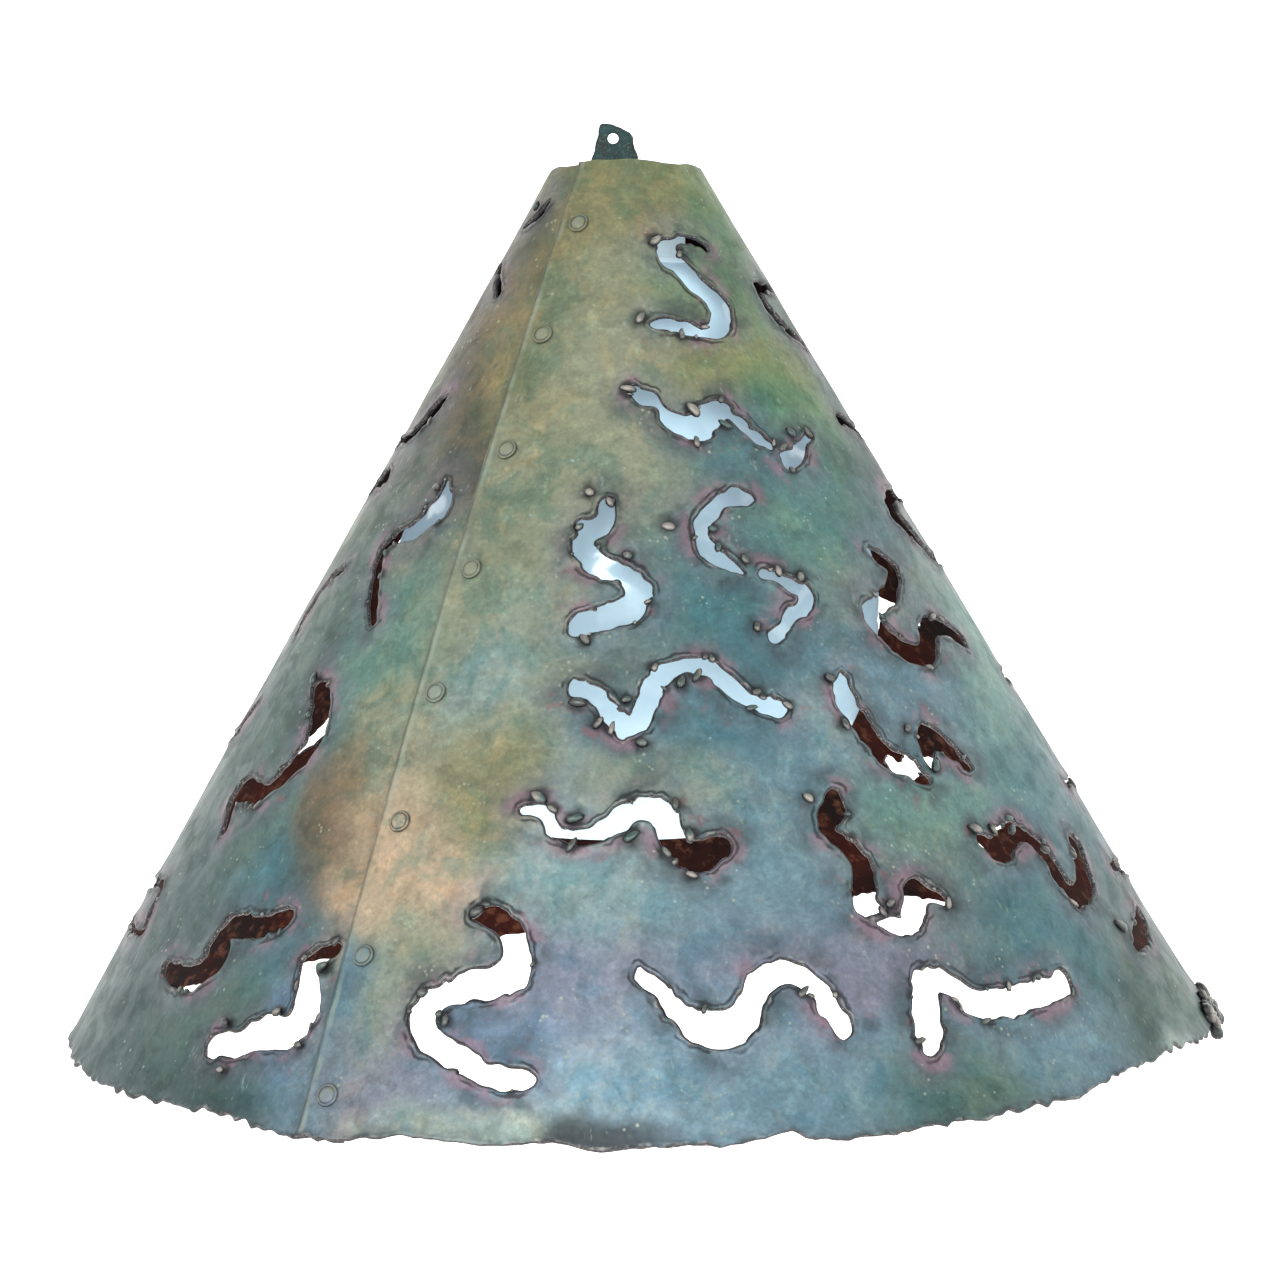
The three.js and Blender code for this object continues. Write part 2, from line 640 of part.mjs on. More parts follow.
function nutGeometry(bottom) {
  const corner = nutAcrossFlats / Math.sqrt(3);
  const outline = new THREE.Shape();
  for (let index = 0; index < 6; index++) {
    const turn = (index * Math.PI) / 3;
    outline[index ? "lineTo" : "moveTo"](corner * Math.cos(turn), corner * Math.sin(turn));
  }
  outline.holes.push(new THREE.Path().absarc(0, 0, nippleHole, 0, 2 * Math.PI, true));
  return prism(outline, nutThickness, alongX, alongY, new THREE.Vector3(0, 0, bottom));
}

function bushGeometry() {
  const collar = nippleTop + clearance;
  const sleeve = nippleBore - clearance;
  return turned([
    [bushBore, collar - bushLength],
    [sleeve, collar - bushLength],
    [sleeve, collar],
    [bushCollar, collar],
    [bushCollar - softEdge / 2, collar + bushCollarHeight],
    [bushBore, collar + bushCollarHeight],
    [bushBore, collar - bushLength],
  ], middleSides);
}

// A quarter of an ellipse that closes a dome in, from a wide radius to a narrow one over it.
function domeLine(wide, narrow, foot, rise) {
  const line = [];
  for (let step = 0; step <= holderDomeSteps; step++) {
    const turn = (step * Math.PI) / 2 / holderDomeSteps;
    line.push([narrow + (wide - narrow) * Math.cos(turn), foot + rise * Math.sin(turn)]);
  }
  return line;
}

// The lampholder's cap: a collar for the nipple, a dome over the terminals and a flange for the glass.
function holderCapGeometry() {
  const skirt = holderBore + holderWall;
  const flange = skirt + holderFlangeWidth;
  const collar = nippleHole + holderWall;
  const domeFoot = holderCapBottom + holderSkirtHeight;
  return turned([
    [holderBore, holderCapBottom],
    [flange, holderCapBottom],
    [flange, holderCapBottom + holderWall],
    [skirt, holderCapBottom + holderWall],
    ...domeLine(skirt, collar, domeFoot, holderDomeHeight),
    [collar, holderTop],
    [nippleHole, holderTop],
    ...domeLine(holderBore, nippleHole, domeFoot, holderDomeHeight - holderWall).reverse(),
    [holderBore, holderCapBottom],
  ]);
}

function holderShellGeometry() {
  const top = holderCapBottom + holderTuck;
  const ledge = screwShellRadius + clearance;
  return turned([
    [ledge, holderBottom],
    [holderRadius - softEdge, holderBottom],
    [holderRadius, holderBottom + softEdge],
    [holderRadius, top],
    [holderRadius - holderWall, top],
    [holderRadius - holderWall, holderBottom + holderWall],
    [ledge, holderBottom + holderWall],
    [ledge, holderBottom],
  ]);
}

// The ceramic core, with a bore for the middle contact and one for each terminal screw.
function holderCoreGeometry() {
  const radius = holderRadius - holderWall - clearance;
  let made = solid(ring(terminalShank + clearance, radius, coreBottom, coreTop));
  for (const side of [-1, 1]) {
    const place = (side * terminalSpacing) / 2;
    const bore = drill(terminalShank + clearance, place, 0, coreBottom + terminalFloor, coreTop + overrun);
    made = made.subtract(solid(bore));
  }
  return geometryOf(made);
}

// Threads as rings of [radius, height] that go between two radii by turns, from the bottom up.
function threadRings(crest, root, bottom, top) {
  const steps = 2 * Math.floor((top - bottom) / threadPitch);
  const rings = [];
  for (let index = 0; index <= steps; index++) {
    rings.push([index % 2 ? root : crest, THREE.MathUtils.mapLinear(index, 0, steps, bottom, top)]);
  }
  return rings;
}

function screwShellGeometry() {
  const bottom = holderBottom + softEdge;
  const root = screwShellRadius - threadDepth;
  const threads = threadRings(root, root - threadDepth, bottom, screwShellTop);
  return turned([
    [screwShellRadius, bottom],
    [screwShellRadius, screwShellTop],
    ...threads.reverse(),
    [screwShellRadius, bottom],
  ], middleSides);
}

// The middle contact: a leaf bent down from its stud, which passes up through the core.
function middleContactGeometry() {
  const top = screwShellTop;
  const half = contactWidth / 2;
  const leaf = new THREE.Shape();
  leaf.moveTo(-half, top);
  leaf.lineTo(-half, top - contactStrip);
  leaf.lineTo(half, top - contactStrip);
  leaf.lineTo(-half, top - contactDrop);
  leaf.lineTo(-half, top - contactDrop - contactStrip);
  leaf.lineTo(half + 2 * contactStrip, top - 2 * contactStrip);
  leaf.lineTo(half + 2 * contactStrip, top);
  const strip = prism(leaf, contactWidth, alongX, alongZ, new THREE.Vector3(0, half, 0));
  const stud = drill(terminalShank, 0, 0, top - contactStrip / 2, coreTop + contactStudProud);
  return geometryOf(solid(strip).add(solid(stud)));
}

function terminalScrewGeometry(side) {
  const seat = coreTop + clearance;
  const bottom = coreBottom + terminalFloor + clearance;
  const top = seat + terminalHeadHeight;
  const profile = [
    [0, bottom],
    [terminalShank, bottom + terminalPoint],
    [terminalShank, seat],
    [terminalHead, seat],
    [terminalHead, top - softEdge],
    [terminalHead - softEdge, top],
    [0, top],
  ];
  const screw = turned(profile, smallSides).translate((side * terminalSpacing) / 2, 0, 0);
  const slot = new THREE.BoxGeometry(2 * (terminalHead + overrun), slotWidth, 2 * slotDepth);
  slot.translate((side * terminalSpacing) / 2, 0, top);
  return geometryOf(solid(screw).subtract(solid(slot)));
}

function glassRingGeometry() {
  const body = holderBore + ringWall;
  const flange = body + ringFlangeWidth;
  const flangeBottom = ringTop - ringFlangeHeight;
  const bottom = ringTop - ringHeight;
  return turned([
    [holderBore, bottom],
    [body - softEdge, bottom],
    [body, bottom + softEdge],
    [body, flangeBottom],
    [flange, flangeBottom],
    [flange, ringTop],
    [holderBore, ringTop],
    [holderBore, bottom],
  ]);
}

// The glass: its outline outside, and the same line inside by the glass's thickness.
function diffuserGeometry() {
  const line = glassOutline.map(([radius, drop]) => new THREE.Vector2(radius, glassTop - drop));
  const outer = new THREE.SplineCurve(line);
  const outerSide = [];
  const innerSide = [];
  for (let index = 0; index <= glassSteps; index++) {
    const point = outer.getPoint(index / glassSteps);
    const heading = outer.getTangent(index / glassSteps);
    outerSide.push([point.x, point.y]);
    innerSide.push([point.x + heading.y * glassWall, point.y - heading.x * glassWall]);
  }
  const lip = glassTop - glassWall;
  return turned([
    [glassNeck, lip],
    [glassShoulder - glassWall, lip],
    ...innerSide,
    ...outerSide.reverse(),
    [glassShoulder, glassTop],
    [glassNeck, glassTop],
    [glassNeck, lip],
  ]);
}

function bulbCapGeometry() {
  const bottom = bulbTop - bulbContactHeight - bulbCollarHeight - bulbCapLength;
  const top = bottom + bulbCapLength;
  const crown = top + bulbCrownRise;
  const inner = bulbCapRadius - threadDepth - bulbCapWall;
  return turned([
    [inner, bottom],
    ...threadRings(bulbCapRadius - threadDepth, bulbCapRadius, bottom, top),
    [bulbCrownRadius, crown],
    [bulbCrownHole, crown],
    [bulbCrownHole, crown - bulbCapWall],
    [bulbCrownRadius - bulbCapWall, crown - 2 * bulbCapWall],
    [inner, top - bulbCrownRise - bulbCapWall],
    [inner, bottom],
  ], middleSides);
}

function bulbInsulatorGeometry() {
  const top = bulbTop - bulbContactHeight;
  const bottom = top - bulbCollarHeight + bulbCrownRise + clearance;
  return turned([[0, bottom], [bulbCollarRadius, bottom], [bulbCollarTop, top], [0, top]], middleSides);
}

function bulbContactGeometry() {
  const bottom = bulbTop - bulbContactHeight + clearance;
  const crown = bulbContactRadius - softEdge;
  return turned([[0, bottom], [bulbContactRadius, bottom], [crown, bulbTop], [0, bulbTop]], middleSides);
}

// The bulb's glass: a globe that draws in to a neck, which is open inside the cap.
function bulbGlassGeometry() {
  const capBottom = bulbTop - bulbContactHeight - bulbCollarHeight - bulbCapLength;
  const neck = bulbCapRadius - threadDepth - bulbCapWall - clearance;
  const middle = bulbTop - bulbLength + bulbRadius;
  const turn = THREE.MathUtils.degToRad(bulbShoulder);
  const [radial, along] = [Math.cos(turn), Math.sin(turn)];
  const pullRadius = bulbRadius * radial - bulbShoulderPull * along;
  const pullHeight = middle + bulbRadius * along + bulbShoulderPull * radial;
  const globe = new THREE.Path();
  globe.moveTo(0, middle - bulbRadius);
  globe.absarc(0, middle, bulbRadius, -Math.PI / 2, turn);
  globe.bezierCurveTo(pullRadius, pullHeight, neck, capBottom - bulbNeckPull, neck, capBottom);
  globe.lineTo(neck, capBottom + bulbTuck);
  const outer = globe.getPoints(globeSteps);
  const shrink = (bulbRadius - bulbWall) / bulbRadius;
  const within = ({ x, y }) => {
    if (y > middle) return [x - bulbWall, y];
    return [x * shrink, middle + (y - middle) * shrink];
  };
  return turned([...outer.map(({ x, y }) => [x, y]), ...outer.map(within).reverse()], middleSides);
}

// Colours, roughness and metalness
const finishes = {
  patina: { color: 0x748079, roughness: 0.62, metalness: 0.45 },
  patinaDark: { color: 0x5d655e, roughness: 0.6, metalness: 0.5 },
  steel: { color: 0x9a9a96, roughness: 0.45, metalness: 0.9 },
  brass: { color: 0xb08d4f, roughness: 0.35, metalness: 0.95 },
  phenolic: { color: 0x1c1a19, roughness: 0.4, metalness: 0 },
  urea: { color: 0xe2e8e9, roughness: 0.35, metalness: 0 },
  ceramic: { color: 0xe6e1d6, roughness: 0.35, metalness: 0 },
  opal: { color: 0xe4eef2, roughness: 0.18, metalness: 0 },
  frosted: { color: 0xf2f4f2, roughness: 0.4, metalness: 0 },
  solder: { color: 0xa9acae, roughness: 0.5, metalness: 0.8 },
};

const lamp = new THREE.Group();

function addPiece(name, geometry, finish) {
  const mesh = new THREE.Mesh(geometry, new THREE.MeshStandardMaterial(finishes[finish]));
  mesh.name = name;
  lamp.add(mesh);
}

addPiece("shade", shadeGeometry(), "patina");
for (let index = 0; index < rivetCount; index++) {
  addPiece(`seam_rivet_${index + 1}`, seamRivetGeometry(index), "patinaDark");
}
addPiece("top_plate", topPlateGeometry(), "patinaDark");
addPiece("braze_bead", brazeBeadGeometry(), "brass");
addPiece("hanging_lug", hangingLugGeometry(), "patina");
lugRivetPlaces().forEach((place, index) => {
  addPiece(`lug_rivet_${index + 1}`, lugRivetGeometry(place), "steel");
});
addPiece("nipple", ring(nippleBore, nippleRadius, nippleBottom, nippleTop, middleSides), "brass");
addPiece("nipple_nut_upper", nutGeometry(lugBase), "brass");
const washer = ring(nippleHole, washerRadius, washerTop - washerThickness, washerTop, middleSides);
addPiece("nipple_washer", washer, "steel");
addPiece("nipple_nut_lower", nutGeometry(lowerNutTop - nutThickness), "brass");
addPiece("flex_bush", bushGeometry(), "phenolic");
addPiece("holder_cap", holderCapGeometry(), "urea");
addPiece("holder_shell", holderShellGeometry(), "urea");
addPiece("holder_core", holderCoreGeometry(), "ceramic");
addPiece("screw_shell", screwShellGeometry(), "brass");
addPiece("middle_contact", middleContactGeometry(), "brass");
addPiece("terminal_screw_1", terminalScrewGeometry(-1), "brass");
addPiece("terminal_screw_2", terminalScrewGeometry(1), "brass");
addPiece("glass_ring", glassRingGeometry(), "urea");
addPiece("diffuser", diffuserGeometry(), "opal");
addPiece("bulb_glass", bulbGlassGeometry(), "frosted");
addPiece("bulb_cap", bulbCapGeometry(), "steel");
addPiece("bulb_insulator", bulbInsulatorGeometry(), "phenolic");
addPiece("bulb_contact", bulbContactGeometry(), "solder");

// The origin is the middle of the lug's hole, from which the lamp hangs.
lamp.position.set(-lugSide, -lugDepth, -(lugBase + lugHoleRise));
const pendant = new THREE.Group();
pendant.add(lamp);

export default pendant;
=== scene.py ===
"""The looks of a riveted cone pendant of patinated sheet, pierced with wandering torch cuts."""

import json
import math

import bmesh
import bpy
import numpy as np
from mathutils import Matrix, Vector, noise
from mathutils.geometry import delaunay_2d_cdt

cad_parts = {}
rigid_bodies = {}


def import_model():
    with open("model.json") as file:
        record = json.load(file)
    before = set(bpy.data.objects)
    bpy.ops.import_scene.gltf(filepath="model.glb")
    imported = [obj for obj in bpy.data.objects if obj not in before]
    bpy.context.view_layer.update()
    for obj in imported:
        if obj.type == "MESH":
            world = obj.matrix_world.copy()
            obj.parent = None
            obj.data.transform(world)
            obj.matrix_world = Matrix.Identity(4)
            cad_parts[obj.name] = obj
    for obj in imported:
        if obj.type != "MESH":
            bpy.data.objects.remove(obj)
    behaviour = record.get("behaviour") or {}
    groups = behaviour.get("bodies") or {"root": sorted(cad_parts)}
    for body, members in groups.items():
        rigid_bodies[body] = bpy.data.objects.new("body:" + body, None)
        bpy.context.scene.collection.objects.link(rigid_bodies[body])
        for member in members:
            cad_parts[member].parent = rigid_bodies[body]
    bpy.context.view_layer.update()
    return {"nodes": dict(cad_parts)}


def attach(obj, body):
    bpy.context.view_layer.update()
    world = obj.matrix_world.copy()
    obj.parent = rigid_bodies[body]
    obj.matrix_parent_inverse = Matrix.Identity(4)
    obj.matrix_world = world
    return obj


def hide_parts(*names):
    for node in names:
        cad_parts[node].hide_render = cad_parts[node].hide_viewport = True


for leftover in list(bpy.data.objects):
    bpy.data.objects.remove(leftover)
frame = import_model()

# Sizes are in mm. Heights are measured up from the shade's rim, and radii out from its axis.
# Angles are in degrees round the axis: 0 is the front, which is -Y, and they grow towards +X.
MM = 0.001
AXIS_X = 4.3
AXIS_Y = 8.3
RIM_Z = -311.8

RIM_RADIUS = 203.0
TOP_RADIUS = 26.8
SHADE_HEIGHT = 302.0
SHEET = 1.2
CLEARANCE = 0.3
LAP_ANGLE = -30.4
LAP_LEAN = -4.6
LAP_WIDTH = 16.0
LAP_FADE = 30.0
LAP_STEP = SHEET + CLEARANCE
WRAP_ANGLE = 28.0

SLOPE = (RIM_RADIUS - TOP_RADIUS) / SHADE_HEIGHT
HALF_ANGLE = math.atan(SLOPE)
SIN_A, COS_A = math.sin(HALF_ANGLE), math.cos(HALF_ANGLE)
TIP = RIM_RADIUS / SLOPE
MIDDLE_ANGLE = LAP_ANGLE + 180.0

# The cuts seen from the front and the sides: the middle line of each as [angle, height, width]
CUTS = [
    # bottom row
    [[-90, 48, 5], [-80, 53.6, 5], [-72.4, 55, 4], [-71.4, 48, 4], [-70.6, 41.6, 4], [-78, 39.6, 4], [-88, 38, 4]],
    [[-41, 56.8, 7], [-43.4, 54, 8], [-49.2, 50.8, 8], [-50, 46.6, 9.5], [-49, 42.2, 10], [-50.6, 36.8, 10],
     [-53.4, 34.2, 9], [-58, 36, 5]],
    [[-32.4, 49.8, 5], [-35.2, 45.4, 6], [-34.6, 39, 9], [-34, 31, 9], [-35, 25.4, 10], [-38.4, 23.8, 11],
     [-41, 19.8, 9], [-43.4, 18.6, 9]],
    [[-16.6, 62, 7], [-13.6, 58, 7.5], [-12.2, 51, 8.5], [-12.6, 45, 11], [-16.4, 42, 10], [-19.6, 38.2, 8.5],
     [-20.7, 32, 8.5], [-19.2, 26, 8.5], [-16, 21.4, 8], [-13.2, 18.2, 8], [-10.6, 16.7, 8]],
    [[0.2, 45.4, 5], [2, 40.5, 5.5], [4, 34.5, 8], [6.8, 29.8, 12], [9.2, 32, 11], [11.6, 42, 8], [14, 45, 8],
     [16.2, 42.6, 7], [17.9, 36, 6.2], [19.1, 28.8, 6.4]],
    [[27.2, 20.6, 7], [27.6, 26, 9.5], [28.2, 33, 9], [29.4, 39, 9], [31.8, 36.4, 8.5], [34, 30.4, 9.5],
     [38, 29.4, 9.5], [43.4, 30.8, 9], [46.4, 31.6, 8.5]],
    [[65.2, 33.4, 5], [67.4, 35.4, 9], [70.4, 36.8, 10], [73.2, 39.8, 9]],
    [[73, 56.6, 4], [78, 54.4, 6], [84, 51.6, 7], [90, 47, 7]],
    # second row
    [[-54.6, 125.4, 6], [-52.2, 123, 9], [-49.6, 112, 11], [-50, 105, 10], [-53.4, 94, 7], [-56, 90.6, 8],
     [-61, 90.6, 9], [-62, 86, 6], [-60.6, 78, 3.6]],
    [[-13, 91.3, 5], [-11, 90.8, 5.6], [-9.6, 86, 5], [-7, 83.8, 5.4], [-4.4, 85, 6.2], [-1.6, 90, 8],
     [1, 92, 8.5], [3.2, 89, 9.5], [4.2, 82, 9], [6.8, 78.2, 10.5], [9.3, 80.8, 8]],
    [[24.6, 94, 5], [23.7, 89, 9], [22.5, 84.6, 6.5], [23.6, 79.6, 6], [25.6, 74, 6.5], [25.4, 68, 8],
     [24.7, 63, 8.5], [26.2, 57.4, 7.5], [28.6, 54.8, 7], [30.4, 58.6, 8.5], [31.6, 63.8, 8.5], [34.2, 60, 5]],
    [[44.4, 75, 6], [46.2, 72, 9.5], [48.4, 74.4, 10.5], [51, 76, 9], [53.6, 73.6, 6.5], [55, 67, 7],
     [55.6, 59, 8], [57.4, 53.8, 9], [60, 54.6, 10.5], [62.4, 60.4, 10.5], [64, 67, 9]],
    [[74.6, 84, 3.5], [80, 83.4, 4], [86, 82.6, 4.5], [94, 80.8, 5.5]],
    # third row
    [[-65.6, 163.4, 3], [-69.6, 161, 4.5], [-73.6, 156, 5], [-76, 149, 5.5], [-76, 141, 4]],
    [[-75, 116.6, 3], [-77, 112, 5], [-79, 106, 4], [-86, 103, 4]],
    [[-7.9, 127.2, 6], [-5.6, 125.6, 6.5], [-3.2, 119.8, 6.5], [-1, 115.6, 6.4], [1, 119, 6.4], [2.8, 128, 6.8],
     [5, 132.8, 7], [7.6, 133.4, 5.6], [10.6, 133, 6], [13.2, 128.2, 6.5], [16, 123, 6], [19.6, 120.2, 6.6]],
    [[31.2, 127.4, 5], [30.7, 121.6, 8], [31.8, 114.4, 8], [33.6, 104.4, 8], [36, 101, 8.5], [39.2, 95.8, 4.6]],
    [[41.5, 99.4, 3.8], [41.6, 105.4, 7], [42.8, 108.2, 9], [44.8, 105.4, 8], [47.6, 98, 5]],
    [[80, 121, 5], [87, 120.4, 6], [94, 117, 7]],
    # fourth row
    [[-42.8, 192, 3], [-42, 186.4, 7.5], [-43.6, 180.4, 9], [-47.2, 176, 8], [-51, 174.4, 5], [-53.4, 171, 4],
     [-52.8, 164, 4.8], [-48.8, 151.4, 4.6], [-47, 146.6, 3.4]],
    [[-5, 184.6, 5.6], [-4.8, 180, 6], [-7.4, 175.4, 10], [-8.2, 170, 8.5], [-6, 165.4, 8], [-2.6, 163, 7.6],
     [0.4, 159.6, 8.5], [0.8, 154.4, 9], [-1.6, 150.6, 9.5], [-8.4, 146.6, 8]],
    [[23, 186, 6], [20.4, 186, 6.4], [17, 183.8, 5], [14.2, 180, 6], [12.9, 174.6, 5], [13.6, 169.4, 6.5],
     [15.6, 165.8, 6.4], [18.8, 162.4, 3.2]],
    [[22.8, 161.4, 4.6], [25.2, 160.2, 4], [27.4, 157.4, 5.4], [29.8, 154.4, 6.5], [28.4, 150.6, 5.5],
     [26, 148.6, 4], [24.2, 145, 3.6], [22.2, 142, 6]],
    [[49.2, 167, 5], [51.4, 164.2, 6], [53.4, 160.6, 7], [51.6, 156.4, 6.5], [48.4, 152.4, 7], [45, 150, 7.5],
     [42.2, 147.6, 8], [42.6, 142, 8], [44.6, 136.8, 8], [47.6, 133.2, 8.5], [51, 133, 8.5], [53.8, 138.6, 9],
     [56.4, 142, 8], [59.4, 140.6, 8], [64.6, 135.6, 6]],
    [[90, 185.4, 6], [78, 185, 6.5], [69, 183.6, 7], [66.2, 178.4, 9], [69.6, 172, 8], [74, 166, 7],
     [80, 162, 6], [90, 160.4, 4]],
    # fifth row
    [[-58, 222, 2.6], [-62.4, 217.6, 5.5], [-65.2, 212.4, 6], [-69.4, 208, 4.6], [-76, 207.4, 4], [-86, 206.6, 4]],
    [[-69.6, 193, 3], [-73, 194, 8], [-80, 191, 8]],
    [[1.8, 221.4, 5], [4.2, 219.6, 6.5], [7.2, 216.8, 3.6], [10, 212, 7], [13.6, 209.2, 9], [17, 210, 10],
     [20.4, 213.2, 10], [23.4, 215.6, 5], [26.6, 211.4, 5], [29.6, 206, 5], [32.8, 202.6, 4.2]],
    [[46.6, 205.6, 3.5], [43.2, 203.2, 5], [40, 199.2, 6.5], [36.4, 197.4, 7]],
    [[65.6, 210.8, 4], [68.4, 212, 5], [74, 209.4, 5], [80, 207.6, 5], [90, 206.8, 5.5]],
    # top row
    [[-52, 288.6, 2], [-56.6, 285, 4], [-62, 282.4, 4.4], [-68, 281, 2.6]],
    [[-58, 257.2, 2.4], [-63, 260.8, 3], [-69, 264.6, 4], [-78, 268.4, 4]],
    [[37.4, 271.2, 2.8], [33, 273, 3.6], [26, 273.6, 4.6], [19, 272, 7], [17.4, 268.6, 8], [21.6, 264.4, 8],
     [26.6, 259, 8], [31.6, 253.6, 8], [33.6, 248.4, 7.6], [31, 243.8, 7.6], [26.4, 242, 6],
     [20, 242.6, 6.6], [10.4, 244, 6.4]],
    [[74, 258.4, 4], [66, 258, 4], [58.4, 256.8, 5], [60.6, 250, 5], [65, 244, 5], [73.4, 237, 3]],
]

# How the back repeats them, as [turn, way round, the places of those cuts in the list]
BACK_REPEATS = [
    [184, -1, [8, 9, 11, 15, 16, 17, 19, 20, 21, 22, 23, 27, 28, 32]],
    [190, -1, [10]],
    [147, -1, [1, 4]],
    [256, -1, [5]],
    [258, -1, [4]],
    [200, 1, [2]],
]

# Tongues of melted sheet left standing in the cuts, from root to end, as [angle, height, width]
TONGUES = [
    [[22.0, 245.6, 2.6], [24.2, 243.6, 2.2]],
    [[-4.0, 173.6, 2.8], [-6.2, 172.0, 2.4]],
    [[-4.8, 157.4, 2.6], [-2.6, 159.8, 2.2]],
    [[24.8, 57.0, 2.4], [27.8, 59.0, 2.0]],
]

# Beads of metal that ran and set along the cuts, as [angle, height, radius]
BEADS = [
    [12.7, 273, 2.0], [3.8, 246, 1.9], [15.6, 215, 2.1], [22.9, 210, 1.5], [-0.4, 222, 1.7], [40.8, 207, 1.7],
    [36.6, 202, 1.4], [-8.3, 188, 1.9], [-4.2, 185, 1.6], [-9.7, 177, 1.5], [-0.8, 168, 1.9], [-7.4, 142, 1.8],
    [15.0, 176, 1.6], [20.0, 166, 1.6], [6.7, 177, 1.9], [25.7, 162, 1.6], [29.7, 160, 1.8], [19.4, 145, 1.6],
    [-7.8, 123, 2.2], [-4.9, 117, 1.6], [-1.1, 124, 1.5], [0.8, 111, 1.8], [6.6, 129, 1.8], [17.2, 125, 1.5],
    [29.1, 128, 1.7], [29.2, 114, 1.6], [39.3, 111, 1.7], [41.5, 99, 1.9], [21.0, 93, 1.8], [27.6, 61, 1.6],
    [43.6, 79, 2.1], [46.7, 78, 1.5], [50.4, 77, 1.6], [55.2, 69, 1.6], [63.8, 41, 2.0], [-11.7, 95, 2.3],
    [-7.2, 89, 1.7], [-0.6, 84, 1.7], [4.6, 93, 1.6], [6.0, 84, 1.8], [-17.0, 62, 2.0], [-21.1, 39, 1.7],
    [-18.3, 32, 1.5], [-43.1, 25, 1.7], [-36.8, 30, 1.6], [-33.0, 22, 1.5], [-41.2, 12, 1.4], [-33.2, 44, 1.9],
    [-43.9, 190, 1.7], [-58.2, 287, 1.5], [-55.0, 127, 1.7],
]

# Small drops at random places on the cuts' edges, and the lumps at the rim's right end between two [angle, height]
EDGE_DROPS = 300
RIM_LUMPS = 26
RIM_LUMPS_SPAN = [[74, -4], [88, 8]]

# How far the rim stands above its mean height, as [angle, mm]
RIM_DIPS = [
    [-90, 0.0], [-72, -0.6], [-60, -1.4], [-47, 0.1], [-40, 1.0], [-34, -1.6], [-26.5, -2.2], [-20, 0.6],
    [-13.5, -1.0], [-7.5, 1.9], [-3.5, -0.2], [4, 0.6], [6.5, -0.9], [12.6, 2.4], [14.5, -0.7], [23, -0.4],
    [33, 0.5], [42, 0.6], [46, 2.9], [55, 3.5], [61, 3.8], [68, 1.2], [80, -0.5], [100, 1.2], [118, -0.6],
    [132, 1.6], [136, 4.0], [138, 14.5], [145, 15.0], [152, 13.5], [154, 4.0], [160, 0.8], [178, -1.4], [196, -6.0],
    [214, -8.2], [232, -8.6], [246, -7.6], [252, -3.0], [258, -1.4],
]

# The bulges and dents of the rim, as [angle, half width in degrees, mm off the cone], and the height they fade over
RIM_BENDS = [[-18.5, 6.5, 3.2], [-4.5, 5.0, -3.6], [88, 4.0, 2.2], [147, 7.0, -2.0]]
RIM_BEND_FADE = 9.0

# The patina's colours, as shares of a screen's full red, green and blue
GAMMA = 2.2
PALETTE = {
    "khaki": (0.62, 0.61, 0.51), "tan": (0.58, 0.54, 0.39), "rust": (0.44, 0.33, 0.23), "olive": (0.59, 0.57, 0.38),
    "leaf": (0.41, 0.54, 0.37), "verdigris": (0.42, 0.57, 0.52), "teal": (0.3, 0.47, 0.5),
    "slate": (0.45, 0.55, 0.6), "pale_blue": (0.58, 0.67, 0.73), "lilac": (0.56, 0.53, 0.6),
    "peach": (0.84, 0.7, 0.58), "moss": (0.32, 0.42, 0.38), "grey": (0.47, 0.49, 0.47), "pine": (0.24, 0.34, 0.33),
    "umber": (0.28, 0.24, 0.19), "pale_highlight": (0.7, 0.74, 0.7), "soot_and_shade": (0.16, 0.2, 0.2), "blue": (0.36, 0.5, 0.62),
    "mist": (0.62, 0.68, 0.67),
}
